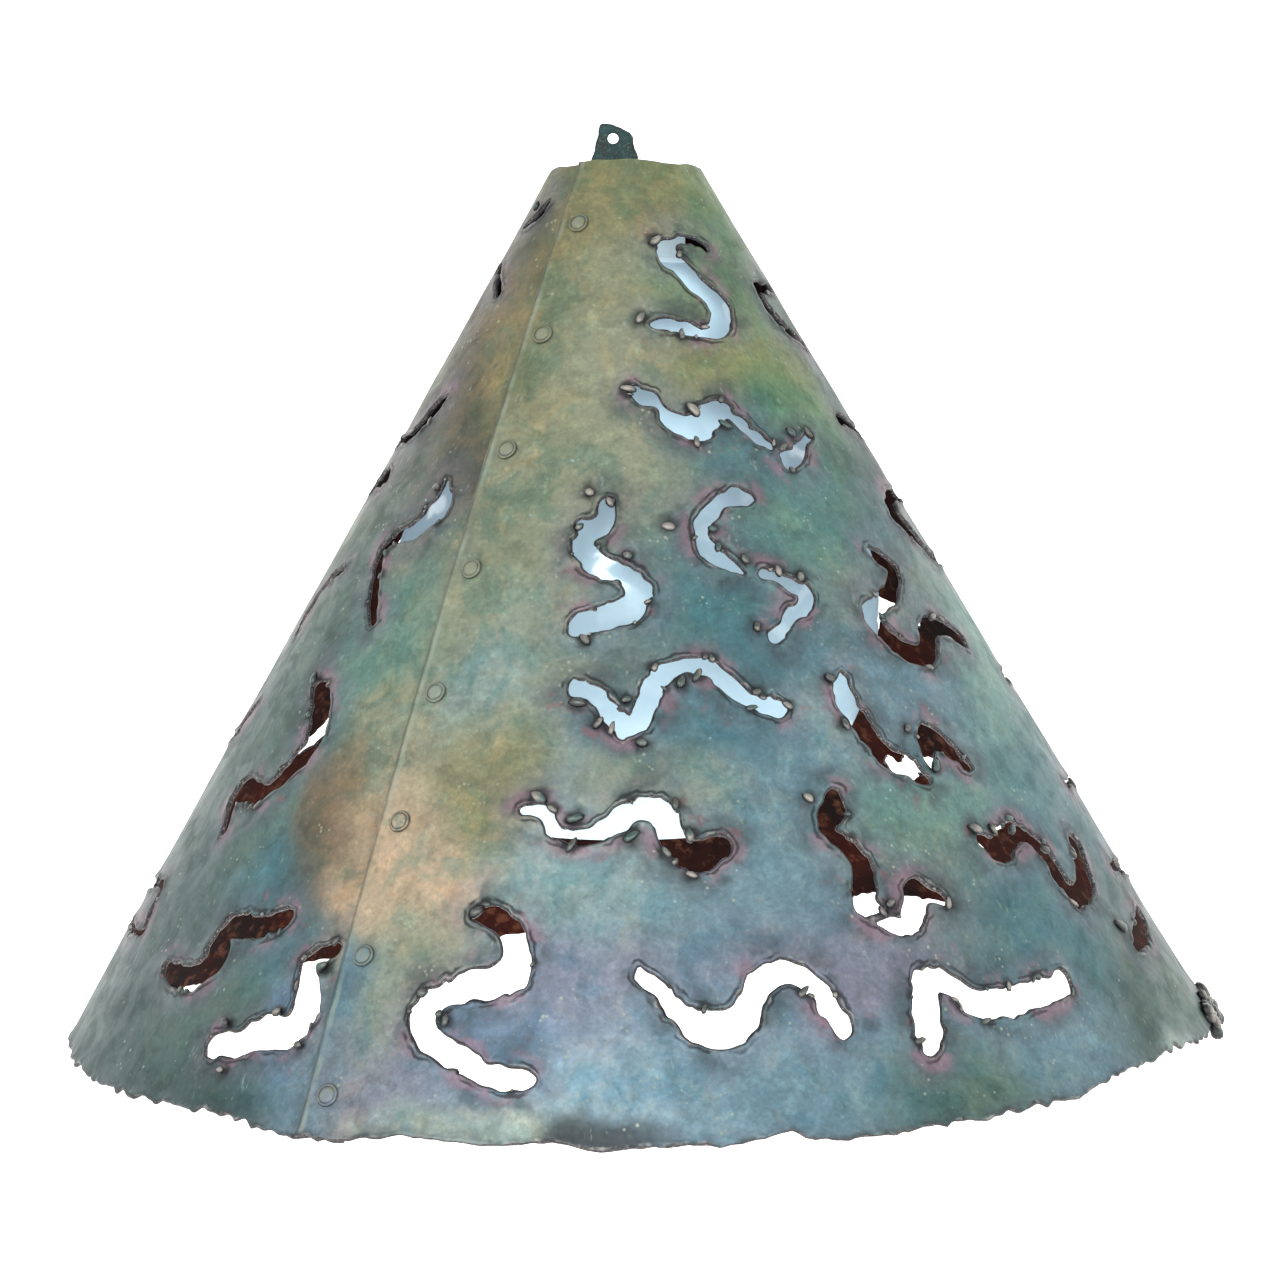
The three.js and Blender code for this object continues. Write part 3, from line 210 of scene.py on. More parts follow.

# Where each colour lies, as [colour, angle, height, half width in mm, half height in mm]
# The dark green zones towards the left and right sides are partly painted shade where the sheet turns from the light.
ZONES = [
    ["khaki", -12, 215, 40, 60], ["khaki", -26, 165, 26, 50], ["tan", 0, 290, 34, 16], ["tan", -30, 250, 22, 50],
    ["tan", -12, 292, 30, 12], ["rust", -48, 262, 14, 30], ["rust", -50, 214, 11, 30], ["tan", -40, 235, 12, 30],
    ["umber", -66, 270, 14, 34], ["umber", -70, 215, 18, 34], ["umber", -44, 205, 8, 14], ["moss", -62, 165, 22, 36],
    ["grey", -46, 190, 16, 20], ["leaf", 60, 278, 18, 26], ["leaf", 38, 258, 12, 22], ["olive", 42, 234, 20, 12],
    ["olive", 26, 226, 14, 9], ["khaki", 4, 236, 26, 18], ["leaf", 52, 208, 20, 16], ["pine", 74, 240, 16, 40],
    ["pine", 80, 190, 20, 30], ["teal", 12, 155, 26, 18], ["teal", 34, 196, 26, 14], ["verdigris", 30, 172, 20, 14],
    ["pine", 60, 187, 16, 13], ["teal", 56, 172, 18, 12], ["grey", 52, 158, 30, 18], ["slate", 42, 122, 34, 18],
    ["mist", 27, 116, 12, 8], ["verdigris", 66, 130, 30, 26], ["slate", 15, 104, 46, 16], ["teal", 9, 113, 22, 9],
    ["teal", 18, 138, 16, 10], ["khaki", 2, 100, 14, 8], ["mist", -4, 72, 34, 16], ["slate", 12, 62, 40, 16],
    ["lilac", 20, 46, 32, 10], ["pale_blue", -6, 22, 50, 18], ["lilac", -5, 36, 22, 10], ["blue", -11, 30, 14, 10],
    ["slate", 16, 14, 30, 12], ["moss", 31, 8, 26, 9], ["grey", 34, 66, 26, 14], ["teal", 46, 48, 34, 18],
    ["verdigris", 36, 84, 26, 16], ["moss", 66, 26, 34, 22], ["pine", 80, 60, 26, 44], ["teal", 70, 84, 26, 20],
    ["peach", -26, 70, 17, 13], ["peach", -31, 88, 12, 14], ["khaki", -32, 106, 18, 20], ["mist", -23, 126, 14, 18],
    # The darkest zone in the row below paints shade at the left side.
    ["pine", -55, 128, 14, 34], ["pine", -60, 24, 26, 18], ["soot_and_shade", -55, 128, 7, 12], ["rust", -38, 88, 10, 18],
    ["tan", -18, 96, 14, 14], ["verdigris", -46, 132, 16, 24], ["moss", -56, 104, 20, 30], ["pine", -72, 110, 24, 44],
    ["pine", -66, 40, 38, 34], ["moss", -50, 30, 20, 14], ["teal", -46, 60, 20, 16], ["pine", -42, 11, 20, 10],
    ["blue", -34, 24, 10, 8], ["slate", -30, 22, 18, 14], ["lilac", -22, 12, 18, 12], ["khaki", -24, 34, 14, 18],
    # In the row below, the pale zones at the front rim paint highlights where its bulge and a bead catch the light,
    # and the darkest zone beside them paints the shadow under the rim's dent.
    ["pale_highlight", -18, 2, 18, 3.4], ["pale_highlight", -10, 1, 7, 5], ["soot_and_shade", -4.5, 1, 15, 3.0], ["soot_and_shade", 89, 8, 10, 12],
    ["slate", 42, 14, 22, 9], ["pine", 76, 22, 24, 24], ["pine", 60, 24, 24, 20], ["moss", 70, 10, 16, 12],
    # In the row below, the pale zone at the rim's right paints a highlight.
    ["pale_highlight", 62, 2, 8, 3], ["khaki", -100, 180, 40, 60], ["leaf", -110, 110, 50, 40], ["tan", 110, 230, 40, 50],
    ["verdigris", 130, 120, 80, 50], ["slate", 150, 50, 90, 30], ["khaki", 180, 180, 60, 50],
    ["teal", 205, 90, 70, 40], ["rust", 170, 255, 30, 30], ["leaf", 240, 160, 50, 50], ["grey", 105, 60, 50, 40],
    ["moss", 225, 30, 80, 24], ["olive", 215, 245, 40, 34],
]

# The flat sheet's grid of distances, how far from a cut they count, and the spacing of points along its edges
WORK_STEP = 1.0
NEAR_CUT = 45.0
EDGE_STEP = 1.0
RIM_POINTS, TOP_POINTS, END_POINTS = 1350, 150, 230

# The spacing of points over the sheet by how far they are from its edges, as [from, to, spacing]
LAND_STEPS = [[0.5, 1.6, 0.95], [1.6, 4.5, 1.8], [4.5, 12.0, 3.6], [12.0, 1e9, 6.5]]

# The sheet's relief: the melted lips along the cuts, the puckers near them, and large and small dents
LIP_HEIGHT = 0.8
LIP_WIDTH = 1.3
LIP_BUMPS = 3.4
MOLTEN_WIDTH = 0.8
PUCKER_FADE = 10

# Waves over the flat sheet, as [mm high, mm across, seed] of each size of them
PUCKERS = [[0.55, 17, 42]]
DENTS = [[0.5, 62, 43], [0.16, 21, 44]]
CUT_LUMPS, CUT_NOTCHES, CUT_RAGS = [[1.2, 4.6, 21]], [[1.0, 3.6, 22]], [[0.45, 16, 23]]
RIM_NOTCHES, RIM_GRAIN = [[1.0, 6.5, 11]], [[0.5, 3.2, 12]]
PATINA_ASIDE, PATINA_ALONG = [[10, 34, 31], [5, 13, 33]], [[8, 30, 32], [5, 13, 34]]

# The calmer front of the rim, as its middle angle and how far from it the raggedness begins to grow and is full
CALM_RIM = (-4, 14, 30)


def lattice(x, y, size, seed):
    """Smooth noise from -1 to 1 over a plane, with bumps about size across."""
    table = np.random.default_rng(seed).uniform(-1, 1, (128, 128))
    column, row = np.floor(x / size).astype(int), np.floor(y / size).astype(int)
    across, up = x / size - column, y / size - row
    across, up = across**2 * (3 - 2 * across), up**2 * (3 - 2 * up)

    def at(c, r):
        return table[r % 128, c % 128]

    low = at(column, row) * (1 - across) + at(column + 1, row) * across
    high = at(column, row + 1) * (1 - across) + at(column + 1, row + 1) * across
    return low * (1 - up) + high * up


def waves(x, y, rows):
    """Smooth noise of one or more sizes, in mm."""
    return sum(height * lattice(x, y, size, seed) for height, size, seed in rows)


def smoothstep(value, low, high):
    share = np.clip((value - low) / (high - low), 0, 1)
    return share * share * (3 - 2 * share)


def outside(height):
    return RIM_RADIUS - SLOPE * height


def on_shade(angle, height, lift=0.0):
    """Points at an angle and a height on the shade's outer face, lifted off it, in metres in the shared frame."""
    radius = outside(height) + lift * COS_A
    turn = np.radians(angle)
    x = AXIS_X + radius * np.sin(turn)
    y = AXIS_Y - radius * np.cos(turn)
    z = RIM_Z + height + lift * SIN_A
    return np.stack(np.broadcast_arrays(x, y, z), axis=-1) * MM


def flatten(angle, height):
    """The sheet laid flat is a fan about the cone's tip, on which lengths are true."""
    reach = (TIP - height) / COS_A
    turn = np.radians(angle - MIDDLE_ANGLE) * SIN_A
    return reach * np.sin(turn), -reach * np.cos(turn)


def roll_up(x, y):
    angle = np.degrees(np.arctan2(x, -y)) / SIN_A + MIDDLE_ANGLE
    return angle, TIP - np.hypot(x, y) * COS_A


def lap_edge(height):
    return LAP_ANGLE + LAP_LEAN * height / SHADE_HEIGHT


def degrees_of(width, height):
    return np.degrees(width / outside(height))


def lap_lift(angle, height):
    """How far the sheet stands off the cone: by one thickness over the lap, then fading away."""
    sweep = angle - lap_edge(height)
    start = degrees_of(LAP_WIDTH, height) + 1
    return LAP_STEP * (1 - smoothstep(sweep, start, start + LAP_FADE))


def rim_height(angle):
    """The height of the ragged rim."""
    table = np.array(RIM_DIPS + [[RIM_DIPS[0][0] + 360, RIM_DIPS[0][1]]])
    round_angle = (angle + 90) % 360 - 90
    arc = np.radians(round_angle) * RIM_RADIUS
    middle, calm, full = CALM_RIM
    burnt = 0.35 + 0.65 * smoothstep(np.abs(round_angle - middle), calm, full)
    notches = np.abs(waves(arc, 0 * arc, RIM_NOTCHES)) - 0.35
    rough = burnt * (1.6 * notches + waves(arc, 0 * arc, RIM_GRAIN))
    return np.interp(round_angle, table[:, 0], table[:, 1]) + rough


def top_height(angle):
    arc = np.radians(angle) * TOP_RADIUS
    return SHADE_HEIGHT - 0.3 + 0.35 * lattice(arc, 0 * arc, 5.0, 13)


def curve_through(points, spacing):
    """Points at about a spacing along a smooth curve through some points of any number of dimensions."""
    points = np.asarray(points, float)
    ends = [2 * points[0] - points[1], *points, 2 * points[-1] - points[-2]]
    made = [points[0]]
    for p0, p1, p2, p3 in zip(ends, ends[1:], ends[2:], ends[3:]):
        steps = [max(np.linalg.norm(b - a) ** 0.5, 1e-3) for a, b in ((p0, p1), (p1, p2), (p2, p3))]
        leave = (p1 - p0) / steps[0] - (p2 - p0) / (steps[0] + steps[1]) + (p2 - p1) / steps[1]
        reach = (p2 - p1) / steps[1] - (p3 - p1) / (steps[1] + steps[2]) + (p3 - p2) / steps[2]
        count = max(2, math.ceil(np.linalg.norm(p2 - p1) / spacing))
        for t in np.arange(1, count + 1) / count:
            from_start, to_end = 2 * t**3 - 3 * t**2 + 1, -2 * t**3 + 3 * t**2
            made.append(
                from_start * p1 + to_end * p2
                + (t**3 - 2 * t**2 + t) * steps[1] * leave + (t**3 - t**2) * steps[1] * reach
            )
    return np.array(made)


def flat_stroke(stroke):
    """The middle line of a cut or tongue on the flat sheet, as rows of x, y and half width."""
    angle, height, width = np.array(stroke, float).T
    angle = (angle + WRAP_ANGLE) % 360 - WRAP_ANGLE
    x, y = flatten(angle, height)
    return curve_through(np.stack([x, y, width / 2], axis=1), EDGE_STEP)


def all_strokes():
    strokes = list(CUTS)
    for turn, way, places in BACK_REPEATS:
        for place in places:
            strokes.append([[turn + way * angle, height, width] for angle, height, width in CUTS[place]])
    return strokes


class Field:
    """Distances over the flat sheet, kept on a square grid."""

    def __init__(self, fill):
        reach = TIP / COS_A + 8
        self.low = np.array([-reach, -reach])
        self.shape = (int((reach + 30) / WORK_STEP) + 2, int(2 * reach / WORK_STEP) + 2)
        self.value = np.full(self.shape, fill)

    def points(self, rows=slice(None), columns=slice(None)):
        y = self.low[1] + np.arange(self.shape[0])[rows] * WORK_STEP
        x = self.low[0] + np.arange(self.shape[1])[columns] * WORK_STEP
        return np.meshgrid(x, y)

    def window(self, line, margin):
        low = np.floor((line[:, :2].min(0) - margin - self.low) / WORK_STEP).astype(int)
        high = np.ceil((line[:, :2].max(0) + margin - self.low) / WORK_STEP).astype(int)
        low, high = np.maximum(low, 0), np.minimum(high, np.array(self.shape[::-1]))
        return slice(low[1], high[1]), slice(low[0], high[0])

    def away_from(self, line, rows, columns):
        """The distance to a line's edge, and the line's half width where it is nearest."""
        x, y = self.points(rows, columns)
        away, half = np.full(x.shape, 1e9), np.zeros(x.shape)
        for px, py, reach in line:
            here = np.hypot(x - px, y - py) - reach
            half = np.where(here < away, reach, half)
            away = np.minimum(away, here)
        return away, half

    def at(self, x, y):
        """The value at points between the grid's."""
        value = self.value
        column = np.clip((x - self.low[0]) / WORK_STEP, 0, self.shape[1] - 1.001)
        row = np.clip((y - self.low[1]) / WORK_STEP, 0, self.shape[0] - 1.001)
        c, r = column.astype(int), row.astype(int)
        across, up = column - c, row - r
        low = value[r, c] * (1 - across) + value[r, c + 1] * across
        high = value[r + 1, c] * (1 - across) + value[r + 1, c + 1] * across
        return low * (1 - up) + high * up

    def outlines(self):
        """Closed loops along which the field is nought."""
        inside = self.value < 0
        code = inside[:-1, :-1] * 1 + inside[:-1, 1:] * 2 + inside[1:, 1:] * 4 + inside[1:, :-1] * 8
        links = {}
        for row, column in np.argwhere((code > 0) & (code < 15)):
            sides = [
                ((row, column, 0), inside[row, column] != inside[row, column + 1]),
                ((row, column + 1, 1), inside[row, column + 1] != inside[row + 1, column + 1]),
                ((row + 1, column, 0), inside[row + 1, column] != inside[row + 1, column + 1]),
                ((row, column, 1), inside[row, column] != inside[row + 1, column]),
            ]
            crossed = [side for side, mixed in sides if mixed]
            for one, other in zip(crossed[::2], crossed[1::2]):
                links.setdefault(one, []).append(other)
                links.setdefault(other, []).append(one)
        loops = []
        while links:
            start = next(iter(links))
            loop, here = [], start
            while here in links:
                loop.append(here)
                ahead = [other for other in links.pop(here) if other in links]
                if not ahead:
                    break
                here = ahead[0]
            loops.append(np.array([self.crossing(side) for side in loop]))
        return loops

    def crossing(self, side):
        row, column, upright = side
        here = self.value[row, column]
        there = self.value[row + 1, column] if upright else self.value[row, column + 1]
        share = here / (here - there)
        x = column + (0 if upright else share)
        y = row + (share if upright else 0)
        return self.low + np.array([x, y]) * WORK_STEP


def even_loop(loop, spacing):
    """A closed loop with its points at about an even spacing."""
    closed = np.vstack([loop, loop[:1]])
    along = np.concatenate([[0], np.cumsum(np.linalg.norm(np.diff(closed, axis=0), axis=1))])
    count = max(6, round(along[-1] / spacing))
    marks = np.linspace(0, along[-1], count, endpoint=False)
    return np.stack([np.interp(marks, along, closed[:, axis]) for axis in (0, 1)], axis=1)


def cut_fields():
    """The clean distance to the nearest cut, and the ragged one that the cuts' edges follow."""
    clean, width = Field(NEAR_CUT), Field(4.0)
    for stroke in all_strokes():
        line = flat_stroke(stroke)
        rows, columns = clean.window(line, NEAR_CUT)
        away, half = clean.away_from(line, rows, columns)
        nearer = away < clean.value[rows, columns]
        width.value[rows, columns] = np.where(nearer, half, width.value[rows, columns])
        clean.value[rows, columns] = np.where(nearer, away, clean.value[rows, columns])
    ragged = Field(NEAR_CUT)
    x, y = ragged.points()
    torn = 0.75 + waves(x, y, CUT_RAGS)
    notches = np.abs(waves(x, y, CUT_NOTCHES)) - 0.36
    lumps = torn * (waves(x, y, CUT_LUMPS) + 1.7 * notches)
    ragged.value = clean.value + np.minimum(lumps, 0.5 * width.value)
    for tongue in TONGUES:
        line = flat_stroke(tongue)
        rows, columns = ragged.window(line, 6)
        away, _ = ragged.away_from(line, rows, columns)
        ragged.value[rows, columns] = np.maximum(ragged.value[rows, columns], -away)
    return clean, ragged


def sheet_border():
    """The border of the flat sheet: its rim, its far end, its top and its near end."""
    start = lap_edge(0.0)
    stop = start + 360 + degrees_of(LAP_WIDTH, 0.0)
    rim = np.linspace(start, stop, RIM_POINTS)
    rim_line = np.stack(flatten(rim, rim_height(rim)), axis=1)
    low, high = rim_height(np.array([start, stop])), SHADE_HEIGHT - 1.0
    far = np.linspace(low[1], high, END_POINTS)[1:-1]
    far_line = np.stack(flatten(lap_edge(far) + 360 + degrees_of(LAP_WIDTH, far), far), axis=1)
    top_start = lap_edge(SHADE_HEIGHT)
    top = np.linspace(top_start + 360 + degrees_of(LAP_WIDTH, SHADE_HEIGHT), top_start, TOP_POINTS)
    top_line = np.stack(flatten(top, top_height(top)), axis=1)
    near = np.linspace(high, low[0], END_POINTS)[1:-1]
    near_line = np.stack(flatten(lap_edge(near), near), axis=1)
    return np.vstack([rim_line, far_line, top_line, near_line])


def edge_distances(angle, height):
    """How far points of the sheet are inside its rim, its top and its two ends."""
    rim = (height - rim_height(angle)) / COS_A
    top = (top_height(angle) - height) / COS_A
    near = np.radians(angle - lap_edge(height)) * outside(height)
    far = np.radians(lap_edge(height) + 360 - angle) * outside(height) + LAP_WIDTH
    return rim, top, near, far


def loop_edges(loops):
    """The edges that close each loop, by the places of the loops' points in one list."""
    edges, base = [], 0
    for loop in loops:
        count = len(loop)
        edges += [(base + index, base + (index + 1) % count) for index in range(count)]
        base += count
    return edges


def triangulate(loops, others, wanted):
    """Points and triangles that all face up, with edges along the loops, where their middles are wanted."""
    spots = [Vector(point) for point in np.vstack([*loops, *others])]
    made = delaunay_2d_cdt(spots, loop_edges(loops), [], 0, 1e-4, False)
    flat = np.array([tuple(point) for point in made[0]])
    triangles = np.array([face for face in made[2] if len(face) == 3])
    triangles = triangles[wanted(*flat[triangles].mean(1).T)]
    corners = flat[triangles]
    turn = np.cross(corners[:, 1] - corners[:, 0], corners[:, 2] - corners[:, 0])
    triangles[turn < 0] = triangles[turn < 0][:, ::-1]
    return flat, triangles[np.abs(turn) > 1e-6]


def sheet_mesh():
    """The flat sheet cut to triangles: its points, its triangles, and the two distances at each point."""
    clean, ragged = cut_fields()
    loops = [even_loop(loop, EDGE_STEP) for loop in ragged.outlines() if len(loop) > 8]

    def land(x, y):
        return np.minimum(ragged.at(x, y), np.minimum.reduce(edge_distances(*roll_up(x, y))))

    spots, reach = [], TIP / COS_A + 4
    for near, far, step in LAND_STEPS:
        x, y = np.meshgrid(np.arange(-reach, reach, step), np.arange(-reach, 30, step * 0.866))
        x[1::2] += step / 2
        x, y = x.ravel(), y.ravel()
        keep = (land(x, y) > near) & (land(x, y) <= far)
        spots.append(np.stack([x[keep], y[keep]], axis=1))
    flat, triangles = triangulate([sheet_border(), *loops], spots, lambda x, y: land(x, y) > 0)
    triangles = largest_piece(triangles, len(flat))
    used, triangles = np.unique(triangles, return_inverse=True)
    flat = flat[used]
    return flat, triangles.reshape(-1, 3), clean.at(*flat.T), ragged.at(*flat.T)


def largest_piece(triangles, count):
    """The triangles of the largest piece that hangs together."""
    label = np.arange(count)
    while True:
        least = label[triangles].min(1)
        lower = label.copy()
        for corner in range(3):
            np.minimum.at(lower, triangles[:, corner], least)
        lower = lower[lower]
        if (lower == label).all():
            break
        label = lower
    names, sizes = np.unique(label[triangles[:, 0]], return_counts=True)
    return triangles[label[triangles[:, 0]] == names[sizes.argmax()]]


def boundary_edges(triangles):
    """The edges that only one triangle has, each with that triangle on its left."""
    pairs = np.vstack([triangles[:, [0, 1]], triangles[:, [1, 2]], triangles[:, [2, 0]]])
    key = np.sort(pairs, axis=1)
    _, index, count = np.unique(key, axis=0, return_index=True, return_counts=True)
    return pairs[index[count == 1]]


def patina_at(angle, height):
    """The colour of the patina over the shade: each zone's colour by its nearness, with wandering borders."""
    x, y = flatten(angle, height)
    calm = 1 - 0.8 * np.exp(-np.maximum(height, 0) / 12)
    aside = calm * waves(x, y, PATINA_ASIDE)
    angle = angle + np.degrees(aside / np.maximum(outside(height), 30))
    height = height + calm * waves(x, y, PATINA_ALONG)
    total, weights = 0, 0
    for name, zone_angle, zone_height, wide, tall in ZONES:
        apart = (angle - zone_angle + 180) % 360 - 180
        along = np.radians(apart) * outside(height)
        nearness = np.exp(-((along / wide) ** 2) - ((height - zone_height) / tall) ** 2) + 1e-9
        weight = nearness * 40 / math.sqrt(wide * tall)
        colour = np.array(PALETTE[name]) ** GAMMA
        total = total + weight[:, None] * colour
        weights = weights + weight
    return total / weights[:, None]


def rim_bend(angle, height):
    """The rim's bulges and dents, as mm off the cone."""
    bend = sum(size * np.exp(-(((angle - middle) / half) ** 2)) for middle, half, size in RIM_BENDS)
    return bend * np.exp(-np.maximum(height, 0) / RIM_BEND_FADE)


def make_mesh(name, points, faces, materials, places=None):
    """A mesh object from points in metres and faces, with the material of each face by its place in a list."""
    mesh = bpy.data.meshes.new(name)
    mesh.from_pydata(list(points), [], faces)
    for each in materials:
        mesh.materials.append(each)
    if places is not None:
        mesh.polygons.foreach_set("material_index", np.asarray(places, np.int32))
    mesh.update()
    mesh.shade_smooth()
    piece = bpy.data.objects.new(name, mesh)
    bpy.context.scene.collection.objects.link(piece)
    return piece


def thick_sheet(flat, triangles, place, outer_lift, inner_lift, swell):
    """A flat sheet of triangles as a closed body with rounded edges: its points, faces and what each face is.

    place(x, y, lift) gives a point in metres. A face is 0 outside, 1 inside and 2 on an edge."""
    border = boundary_edges(triangles)
    edge = np.unique(border)
    step = flat[border[:, 1]] - flat[border[:, 0]]
    square = np.stack([step[:, 1], -step[:, 0]], axis=1)
    square /= np.maximum(np.linalg.norm(square, axis=1), 1e-9)[:, None]
    outward = np.zeros_like(flat)
    np.add.at(outward, border[:, 0], square)
    np.add.at(outward, border[:, 1], square)
    outward /= np.maximum(np.linalg.norm(outward, axis=1), 1e-6)[:, None]
    swollen = flat[edge] + outward[edge] * swell[edge][:, None]
    points = np.vstack([
        place(flat[:, 0], flat[:, 1], outer_lift),
        place(flat[:, 0], flat[:, 1], inner_lift),
        place(swollen[:, 0], swollen[:, 1], ((outer_lift + inner_lift) / 2)[edge]),
    ])
    count = len(flat)
    middle = np.full(count, -1)
    middle[edge] = np.arange(len(edge)) + 2 * count
    a, b = border.T
    walls = np.vstack([
        np.stack([b, a, middle[a], middle[b]], axis=1),
        np.stack([middle[b], middle[a], a + count, b + count], axis=1),
    ])
    faces = triangles.tolist() + (triangles[:, ::-1] + count).tolist() + walls.tolist()
    sides = np.concatenate([np.zeros(len(triangles)), np.ones(len(triangles)), np.full(len(walls), 2)])
    return points, faces, sides, np.concatenate([np.arange(count), np.arange(count), edge])


def add_tint(piece, colours):
    """The patina's colour at each point, which the finishes read."""
    layer = piece.data.attributes.new("patina", "FLOAT_COLOR", "POINT")
    layer.data.foreach_set("color", np.column_stack([colours, np.ones(len(colours))]).ravel())


def add_layer(piece, name, values):
    layer = piece.data.attributes.new(name, "FLOAT", "POINT")
    layer.data.foreach_set("value", np.asarray(values, np.float32))


def shade_piece(materials):
    """The shade: a rolled sheet, lapped and torn, with raised lips of melted metal round its cuts."""
    flat, triangles, clean, ragged = sheet_mesh()
    x, y = flat.T
    angle, height = roll_up(x, y)
    rim, top, near, far = edge_distances(angle, height)
    torn = np.maximum(np.minimum(ragged, rim), 0)
    blob = 0.5 + 0.5 * lattice(x, y, LIP_BUMPS, 41)
    lip = (0.2 + 0.8 * blob) * np.exp(-((torn / LIP_WIDTH) ** 2))
    pucker = waves(x, y, PUCKERS) * np.exp(-torn / PUCKER_FADE)
    calm = smoothstep(np.minimum(near, far), LAP_WIDTH, 3 * LAP_WIDTH)
    base = lap_lift(angle, height) + rim_bend(angle, height) + (pucker + waves(x, y, DENTS)) * calm
    on_edge = np.zeros(len(flat))
    on_edge[np.unique(boundary_edges(triangles))] = 1
    molten = np.exp(-((torn / MOLTEN_WIDTH) ** 2))
    outer_lift = base + LIP_HEIGHT * lip - on_edge * (0.1 + 0.25 * molten)
    inner_lift = base - SHEET - 0.45 * lip + on_edge * (0.05 + 0.2 * molten)
    swell = 0.05 + 0.3 * molten * (0.5 + blob)

    def place(px, py, lift):
        return on_shade(*roll_up(px, py), lift)

    points, faces, sides, source = thick_sheet(flat, triangles, place, outer_lift, inner_lift, swell)
    piece = make_mesh("shade_sheet", points, faces, materials, sides)
    add_tint(piece, patina_at(angle, height)[source])
    at_cut = (on_edge > 0) & (ragged < 0.5) & (np.minimum(near, far) > 2)
    drops = drops_along(angle[at_cut], height[at_cut], base[at_cut])
    drop_foot_shade, edge = drop_foot_shade_round(drops, x, y), np.maximum(ragged, 0)
    layers = {"cut": clean, "rim": rim, "seam": near, "lip": lip, "edge": edge, "drop_foot_shade": drop_foot_shade}
    for name, values in layers.items():
        add_layer(piece, name, values[source])
    return piece, drops


def surface_frame(angle, height, lift):
    """A matrix that stands an upright piece in mm square on the shade, with its Z outward."""
    here, above = on_shade(angle, height, lift), on_shade(angle, height, lift + 1)
    outward = Vector(above - here).normalized()
    turn = outward.to_track_quat("Z", "Y").to_matrix().to_4x4()
    return Matrix.Translation(Vector(here)) @ turn @ Matrix.Scale(MM, 4)


def drops_along(angles, heights, lifts):
    """Where drops of metal set along the cuts, as [angle, height, lift, radius, length, heading] of each."""
    rng = np.random.default_rng(51)
    drops = []

    def add_drop(angle, height, lift, radius, shortest, longest):
        drops.append((angle, height, lift, radius, rng.uniform(shortest, longest), rng.uniform(0, math.pi)))

    for index in rng.choice(len(angles), EDGE_DROPS, replace=False):
        radius = rng.uniform(0.55, 1.15) ** 1.3
        add_drop(angles[index], heights[index], lifts[index] - 0.1, radius, 1, 2.8)
    for angle, height, radius in BEADS:
        add_drop(angle, height, float(lap_lift(angle, height)) + 0.1, radius * 0.8, 1.2, 2.4)
    for angle, height in rng.uniform(*RIM_LUMPS_SPAN, (RIM_LUMPS, 2)):
        add_drop(angle, height, rng.uniform(0.3, 2.2), rng.uniform(1.6, 3.0), 1.0, 1.5)
    return drops


def beads_piece(finish, drops):
    """The drops, each one lumpy, drawn out and sunk into the sheet, with a layer that is nought at its foot."""
    rng = np.random.default_rng(52)
    ball = bpy.data.meshes.new("ball")
    shape = bmesh.new()
    bmesh.ops.create_icosphere(shape, subdivisions=2, radius=1.0)
    shape.to_mesh(ball)
    shape.free()
    corners = [vertex.co.copy() for vertex in ball.vertices]
    shell = [tuple(polygon.vertices) for polygon in ball.polygons]
    bpy.data.meshes.remove(ball)
    points, faces, crown = [], [], []
    for angle, height, lift, radius, length, heading in drops:
        stand = surface_frame(angle, height, lift) @ Matrix.Rotation(heading, 4, "Z")
        seed = Vector(rng.uniform(-50, 50, 3))
        base = len(points)
        for corner in corners:
            lump = 1 + 0.22 * noise.noise(corner * 1.5 + seed)
            waist = 1 - 0.16 * (length - 1) * corner.x
            across = Vector((corner.x * length, corner.y * waist, corner.z * 0.85 * waist))
            points.append(tuple(stand @ (across * radius * lump)))
            crown.append(corner.z)
        faces += [tuple(base + index for index in face) for face in shell]
    piece = make_mesh("melt_beads", points, faces, [finish])
    add_layer(piece, "crown", crown)
    return piece


def drop_foot_shade_round(drops, x, y):
    """How near points of the flat sheet are to the foot of a drop: 1 there, and nought from 2 mm off. It drives
    painted shade round each drop.
    """
    drop_foot_shade = np.zeros(len(x))
    for angle, height, _, radius, length, heading in drops:
        angle = (angle + WRAP_ANGLE) % 360 - WRAP_ANGLE
        here = np.array(flatten(angle, height))
        close = np.flatnonzero((np.abs(x - here[0]) < 8) & (np.abs(y - here[1]) < 8))
        apart = np.hypot(x[close] - here[0], y[close] - here[1]) - radius * (1 + 0.5 * (length - 1))
        drop_foot_shade[close] = np.maximum(drop_foot_shade[close], 1 - smoothstep(apart, 0.3, 1.8))
    return drop_foot_shade


def revolve(profile, sides=96, flutes=0, flute_depth=0.0, flute_span=(0, 0)):
    """Points in mm and faces of a profile of [radius, height] turned about Z. Flutes cut grips between two heights."""
    points, faces, rings = [], [], []
    for radius, height in profile:
        if radius < 1e-6:
            rings.append([len(points)] * sides)
            points.append((0, 0, height))
            continue
        ring = []
        for index in range(sides):
            turn = 2 * math.pi * index / sides
            grip = flute_span[0] < height < flute_span[1]
            reach = radius - (flute_depth * (0.5 + 0.5 * math.cos(flutes * turn)) if grip else 0)
            ring.append(len(points))
            points.append((reach * math.cos(turn), reach * math.sin(turn), height))
        rings.append(ring)
    for low, high in zip(rings, rings[1:]):
        for index in range(sides):
            ahead = (index + 1) % sides
            face = list(dict.fromkeys([low[index], low[ahead], high[ahead], high[index]]))
            if len(face) > 2:
                faces.append(face)
    return points, faces


